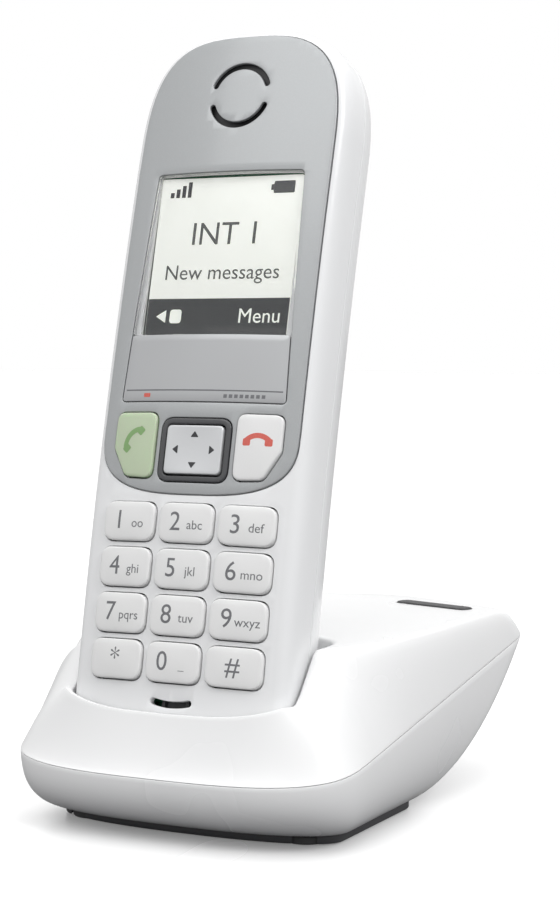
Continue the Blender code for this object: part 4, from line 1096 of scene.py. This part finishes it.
def make_keypad():
    for name, place, figure, letters in key_rows():
        cap = bowed(key_cap(f"{name}_cap", key_outline(place)))
        top = tree_of(cap)
        aside = 2.1 * MM if letters else 0.0
        prints = [lettering(f"{name}_figure", figure, 5.2 * MM, (place[0] - aside, place[1]))]
        if letters:
            low_right = (place[0] + 2.2 * MM, place[1] - 0.5 * MM)
            prints.append(lettering(f"{name}_letters", letters, 2.5 * MM, low_right))
        for obj in prints:
            printed(obj, top, INK_GREY, name)
        placed_on_handset(cap, KEY_WHITE, "key_white", name, name, angle=40)


def make_side_keys():
    for side, name, finish, slot_name, ink in (
        (-1, "talk_key", GREEN_CAP, "talk_green", INK_GREEN),
        (1, "end_key", KEY_WHITE, "key_white", INK_RED),
    ):
        cap = bowed(key_cap(f"{name}_cap", side_key_outline(side)))
        turn = math.radians(-50) if side < 0 else 0.0
        sign = receiver_mark(f"{name}_sign", (side * 13.6 * MM, 65.2 * MM), 3.4 * MM, turn)
        printed(sign, tree_of(cap), ink, name)
        placed_on_handset(cap, finish, slot_name, name, name, angle=40)


def make_nav():
    ring = slab("nav_ring", nav_outline(0.0), -0.45 * MM, 2.4 * MM)
    cut(ring, slab("hole", nav_outline(-NAV_BAND), -6 * MM, 8 * MM))
    bowed(ruled(soften(ring, 0.25 * MM, 3, 50), 2 * MM))
    placed_on_handset(ring, RING_DARK, "dark_plastic", "handset", "nav_frame", angle=40)

    inside = nav_outline(-NAV_BAND - 0.35 * MM)
    pad = bowed(key_cap("nav_pad", inside, back=3.4 * MM, crown=-0.25 * MM, edge=0.22 * MM))
    top = tree_of(pad)
    reach = (3.9 * MM, 2.9 * MM)
    for k, (side, rise) in enumerate(((0, 1), (1, 0), (0, -1), (-1, 0))):
        middle = Vector((side * reach[0], NAV_PLACE[1] + rise * reach[1]))
        along, across = Vector((side, rise)), Vector((-rise, side))
        foot = middle - along * 0.45 * MM
        corners = [middle + along * 0.75 * MM, foot + across * 0.9 * MM, foot - across * 0.9 * MM]
        arrow = mark(f"nav_arrow_{k}", rounded([tuple(c) for c in corners], 0.12 * MM, 3))
        placed_on_handset(laid_on(arrow, top), INK_DARK, None, "nav_key")
    placed_on_handset(pad, PAD_SILVER, "nav_silver", "nav_key", "nav_key", angle=40)


# Base


def crease_outline(inset):
    caps = (FRONT_CORNER - inset, REAR_CORNER - inset)
    front, rear = BASE_FRONT + inset, BASE_REAR - inset
    return capped_outline(BASE_HALF - inset, front, rear, caps, (3.0, 2.4))


def crease_height(x, y):
    crown = EDGE_CROWN * (1 - (x / BASE_HALF) ** 2)
    crown *= step_between(y, BASE_REAR - EDGE_CROWN_RUN, BASE_REAR)
    return EDGE_FRONT_Z + EDGE_SLOPE * (y - BASE_FRONT) + crown


def cradle_section(grow):
    front = face_depth(0, RIM_FRONT)
    clear = CRADLE_CLEARANCE + grow
    caps, powers = (10 * MM, 15 * MM), (4.6, 2.7)
    return capped_outline(CASE_HALF + clear, front - clear, CASE_BACK + front + clear, caps, powers)


def rim_height(u, depth):
    behind = step_between(depth, 5.5 * MM, 12.5 * MM)
    corner = max(behind, min(1.0, abs(u / CASE_HALF)) ** 3)
    level = math.tan(LEAN) * max(0.0, depth)
    return RIM_FRONT + RIM_CORNER * corner + RIM_STEP * behind + level


def cradle_ring(grow, drop):
    return [
        HANDSET @ Vector((u, depth, rim_height(u, depth) - drop)) for u, depth in cradle_section(grow)
    ]


def cradle_floor_ring(grow, drop, factor=1.0, rise=0.0):
    ring = []
    for u, depth in scaled(cradle_section(grow), factor, (0, CASE_BACK / 2)):
        ramp = 1 - step_between(depth, -2 * MM, 13 * MM)
        height = (10 + 4.2 * ramp + 5 * (u / CASE_HALF) ** 4 + rise) * MM - drop
        along = (height - HANDSET_ORIGIN.z + depth * math.sin(LEAN)) / math.cos(LEAN)
        ring.append(HANDSET @ Vector((u, depth, along)))
    return ring


DECK_STEPS = (
    0.0, 0.25, 0.6, 1.0, 1.5, 2.2, 3.1, 4.2, 5.5, 7.0, 8.7, 10.5, 12.2, 14.0, 17.0, 20.0, 24.0,
    29.0, 35.0, 42.0, 50.0,
)


def deck_rings(inset, lip, sink):
    edge = crease_outline(inset)
    rim = cradle_ring(lip, 0.0)
    rings = []
    for k, distance in enumerate(DECK_STEPS):
        ring = []
        for (x, y), top in zip(edge, rim):
            run = Vector((top.x, top.y)) - Vector((x, y))
            share = min(distance * MM / run.length, k / len(DECK_STEPS))
            place = Vector((x, y)) + run * share
            low = crease_height(x, y) + SEAM
            shoulder = min(SHOULDER_RUN, run.length + inset)
            travel = min(1.0, (share * run.length + inset) / shoulder)
            front = 1 - step_between(y, BASE_FRONT, BASE_FRONT + 18 * MM)
            rise = front * travel**1.35 + (1 - front) * (1 - (1 - travel) ** 2.2)
            ring.append((place.x, place.y, max(low, low + (top.z - low) * rise - sink)))
        rings.append(ring)
    rings.append([(p.x, p.y, p.z - sink) for p in rim])
    return rings


def paging_outline(grow):
    half, side = 10 * MM + grow, 2.1 * MM + grow
    outline = rounded([(-half, -side), (half, -side), (half, side), (-half, side)], side * 0.95, 8)
    turn = Matrix.Rotation(PAGING_TURN, 2)
    return [tuple(turn @ Vector(point) + PAGING_PLACE) for point in outline]


def make_deck():
    outside = deck_rings(0.0, 1.0 * MM, 0.0)
    rings = [cradle_floor_ring(0.0, 0.0, f) for f in (0.3, 0.55, 0.8, 0.95)]
    rings.append(cradle_floor_ring(0.0, 0.0, 1.0, 0.6))
    rings += [cradle_ring(0.0, drop) for drop in (1.8 * MM, 0.9 * MM, 0.45 * MM)]
    rings += [cradle_ring(0.18 * MM, 0.16 * MM), cradle_ring(0.55 * MM, 0.03 * MM)]
    rings += outside[::-1]
    rings += deck_rings(1.6 * MM, 1.2 * MM, 1.5 * MM)
    rings += [cradle_floor_ring(1.2 * MM, 1.2 * MM, f) for f in (1.0, 0.8, 0.55, 0.3)]
    shell = skin("base_deck", rings)
    height = tree_of(shell)

    def deck_height(x, y):
        return height.ray_cast(Vector((x, y, 0.2)), Vector((0, 0, -1)))[0].z

    for word, place in zip(("left", "right"), BOSS_PLACES):
        top = deck_height(*place) - 0.8 * MM
        cut(shell, slab("boss", circle(place, BOSS_RADIUS, 32), 4 * MM, top, True), "UNION")
        cut(shell, slab("bore", circle(place, BOSS_BORE, 24), 0, 16 * MM, True))
        low, high = (Vector(corner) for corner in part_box(f"charge_contact_{word}"))
        reach = Vector((GAP, 0.5 * MM, 0))
        low.z, high.z = 3 * MM, high.z + 3 * MM
        cut(shell, block("slot", low - reach, high + reach))
    cut(shell, slab("opening", paging_outline(0.2 * MM), 26 * MM, 42 * MM, True))
    soften(shell, 0.1 * MM, 2, 60)
    smooth(shell, 40)
    dressed(shell, BASE_WHITE, "white_satin", "base", "base_top_shell")

    key = slab("paging_cap", paging_outline(0.0), 31 * MM, 36.5 * MM, True)
    ruled(key, 1.5 * MM, (0, 1))
    for vertex in key.data.vertices:
        if vertex.co.z > 34 * MM:
            vertex.co.z = deck_height(vertex.co.x, vertex.co.y) + 0.3 * MM
    soften(key, 0.3 * MM, 3, 50)
    smooth(key, 40)
    dressed(key, PLASTIC_BLACK, "dark_plastic", "paging_key", "paging_key")


def sole_outline(inset):
    front, rear = SOLE_FRONT + inset, SOLE_FRONT + SOLE_LENGTH - inset
    corner = SOLE_CORNER - inset
    return capped_outline(SOLE_HALF - inset, front, rear, (corner, corner), (2.3, 2.3))


def hull_rings(inset, lift, steps=20):
    rings = []
    sole, edge = sole_outline(inset), crease_outline(inset)
    for k in range(steps + 1):
        share = k / steps
        spread = 1 - (1 - share) ** HULL_BULGE
        ring = []
        for (sx, sy), (ex, ey) in zip(sole, edge):
            top = crease_height(ex, ey) - SEAM
            height = HULL_BOTTOM + (top - HULL_BOTTOM) * share**HULL_CURVE
            upswept = step_between(ey, BASE_FRONT, BASE_FRONT + HULL_BOW_LENGTH)
            along = spread + (share - spread) * upswept
            ring.append((sx + (ex - sx) * spread, sy + (ey - sy) * along, min(height + lift, top)))
        rings.append(ring)
    return rings


def make_hull():
    outside = hull_rings(0.0, 0.0)
    shell = skin("base_hull", outside + hull_rings(1.5 * MM, 1.5 * MM, 10)[::-1])
    walls = block("walls", (-17.5 * MM, 15.5 * MM, 0), (17.5 * MM, 55 * MM, 20.5 * MM))
    cut(walls, skin("outside", outside), "INTERSECT")
    cut(shell, walls, "UNION")
    cut(shell, block("recess", (-16 * MM, 17 * MM, -5 * MM), (16 * MM, 55 * MM, 19 * MM)))
    for name in ("power_socket", "line_socket"):
        low, high = (Vector(corner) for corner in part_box(name))
        reach = Vector((GAP, GAP, GAP))
        cut(shell, block("mouth", low - reach, high + reach))
    for place in BOSS_PLACES:
        cut(shell, slab("bore", circle(place, BOSS_BORE, 24), 0, 4 * MM, True))
    soften(shell, 0.12 * MM, 2, 60)
    smooth(shell, 40)
    dressed(shell, BASE_WHITE, "white_satin", "base", "base_bottom_shell")


def make_sole():
    rings = [[(x, y, z * MM) for x, y in sole_outline(inset * MM)] for inset, z in SOLE_EDGE]
    sole = skin("sole_plate", rings)
    places = {}
    for end, y in FOOT_ROWS:
        for side, word in ((-1, "left"), (1, "right")):
            places[f"foot_{end}_{word}"] = (side * FOOT_OFFSET, y)
    for place in places.values():
        cut(sole, slab("well", circle(place, FOOT_RADIUS + 0.4 * MM), 0, 5 * MM, True))
    for place in BOSS_PLACES:
        cut(sole, slab("well", circle(place, 2.95 * MM, 32), 0, 5 * MM, True))
    smooth(soften(sole, 0.1 * MM, 2, 60))
    dressed(sole, SOLE_GREY, "sole_grey", "base", "base_sole")

    bpy.ops.object.select_all(action="DESELECT")
    bpy.ops.mesh.primitive_cylinder_add(
        vertices=48, radius=FOOT_RADIUS, depth=1.5 * MM, location=(0, 0, 0.8 * MM)
    )
    pattern = settle(bpy.context.view_layer.objects.active)
    soften(pattern, 0.35 * MM, 3, 50)
    for name, place in places.items():
        pad = linked(f"{name}_pad", pattern.data.copy())
        pad.data.transform(Matrix.Translation((*place, 0)))
        dressed(smooth(pad), RUBBER_DARK, "rubber_grey", "base", name)
    bpy.data.objects.remove(pattern)


# Nodes that keep their own shape


def finish_nodes():
    kept = (
        (PLASTIC_BLACK, ("earpiece_mesh", "ringer_speaker", "nav_key_pivot", "microphone")),
        (PLASTIC_BLACK, ("power_socket", "line_socket")),
        (RUBBER_DARK, ("keypad_mat", "microphone_boot")),
        (BOARD, ("handset_circuit_board", "base_circuit_board")),
        (GUIDE, ("lcd_backlight",)),
        (CELL, ("battery_cell_left", "battery_cell_right")),
        (
            PLATED,
            (
                "earpiece_speaker", "handset_antenna", "base_antenna", "handset_contact_left",
                "handset_contact_right", "handset_screw_left", "handset_screw_right", "base_screw_left",
                "base_screw_right", "battery_spring_left", "battery_spring_right", "cell_link_plate",
                "charge_contact_left", "charge_contact_right",
            ),
        ),
    )
    for finish, names in kept:
        for name in names:
            for place in nodes[name].material_slots:
                place.material = finish


# Room


def floor_finish():
    """White sheet with a soft sheen. Seen directly it is white; it gives less light back to the base."""
    made, tree, shader = blank("studio_sheet", emission_color=(1.0, 1.0, 1.0, 1.0))
    cloud = textured(tree, "TexNoise", scale=6.0).outputs["Fac"]
    direct = tree.nodes.new("ShaderNodeLightPath").outputs["Is Camera Ray"]
    tone = mixed_colour(tree, direct, (0.16, 0.16, 0.165), (0.95, 0.95, 0.95))
    glow = ranged(tree, direct, 0.0, 0.16)
    rough = ranged(tree, cloud, 0.22, 0.3)
    fed(tree, shader, base_color=tone, roughness=rough, emission_strength=glow)
    return made


def sky(world):
    """White where it is seen directly. Its light falls mostly from above."""
    world.use_nodes = True
    tree = world.node_tree
    background = tree.nodes["Background"]
    split = tree.nodes.new("ShaderNodeSeparateXYZ")
    place = tree.nodes.new("ShaderNodeTexCoord")
    tree.links.new(place.outputs["Generated"], split.inputs["Vector"])
    seen = tree.nodes.new("ShaderNodeMix")
    seen.inputs[3].default_value = 1.0
    path = tree.nodes.new("ShaderNodeLightPath")
    tree.links.new(path.outputs["Is Camera Ray"], seen.inputs[0])
    tree.links.new(ranged(tree, split.outputs["Z"], 0.72, 1.08), seen.inputs[2])
    tree.links.new(seen.outputs[0], background.inputs["Strength"])
    background.inputs["Color"].default_value = (1.0, 1.0, 1.0, 1.0)


def make_room():
    bpy.ops.object.select_all(action="DESELECT")
    bpy.ops.mesh.primitive_plane_add(size=12, location=(0, 0, -0.02 * MM))
    floor = settle(bpy.context.view_layer.objects.active)
    floor.name = "studio_floor"
    floor.data.materials.append(floor_finish())

    world = bpy.data.worlds.new("studio")
    bpy.context.scene.world = world
    sky(world)

    for name, place, size, power in (
        ("key_light", (-0.25, -0.75, 1.0), 0.7, 2.4),
        ("top_light", (0.2, 0.2, 1.3), 1.0, 3.0),
        ("side_light", (0.95, -0.25, 0.85), 0.5, 5.0),
    ):
        lamp = bpy.data.lights.new(name, "AREA")
        lamp.size = size
        lamp.energy = power
        holder = linked(name, lamp)
        holder.location = place
        aim = Vector((0, 0, 0.06)) - Vector(place)
        holder.rotation_euler = aim.to_track_quat("-Z", "Y").to_euler()

    lens = bpy.data.cameras.new("view")
    lens.sensor_fit = "VERTICAL"
    lens.sensor_height = 36
    lens.lens = CAMERA_LENS
    camera = linked("view", lens)
    camera.location = CAMERA_PLACE
    camera.rotation_euler = (CAMERA_PITCH, 0, CAMERA_TURN)
    bpy.context.scene.camera = camera
    bpy.context.scene.view_settings.view_transform = "Standard"


make_front_shell()
make_rear_shell()
make_faceplate()
make_window()
make_lcd()
make_keypad()
make_side_keys()
make_nav()
make_deck()
make_hull()
make_sole()
finish_nodes()
make_room()
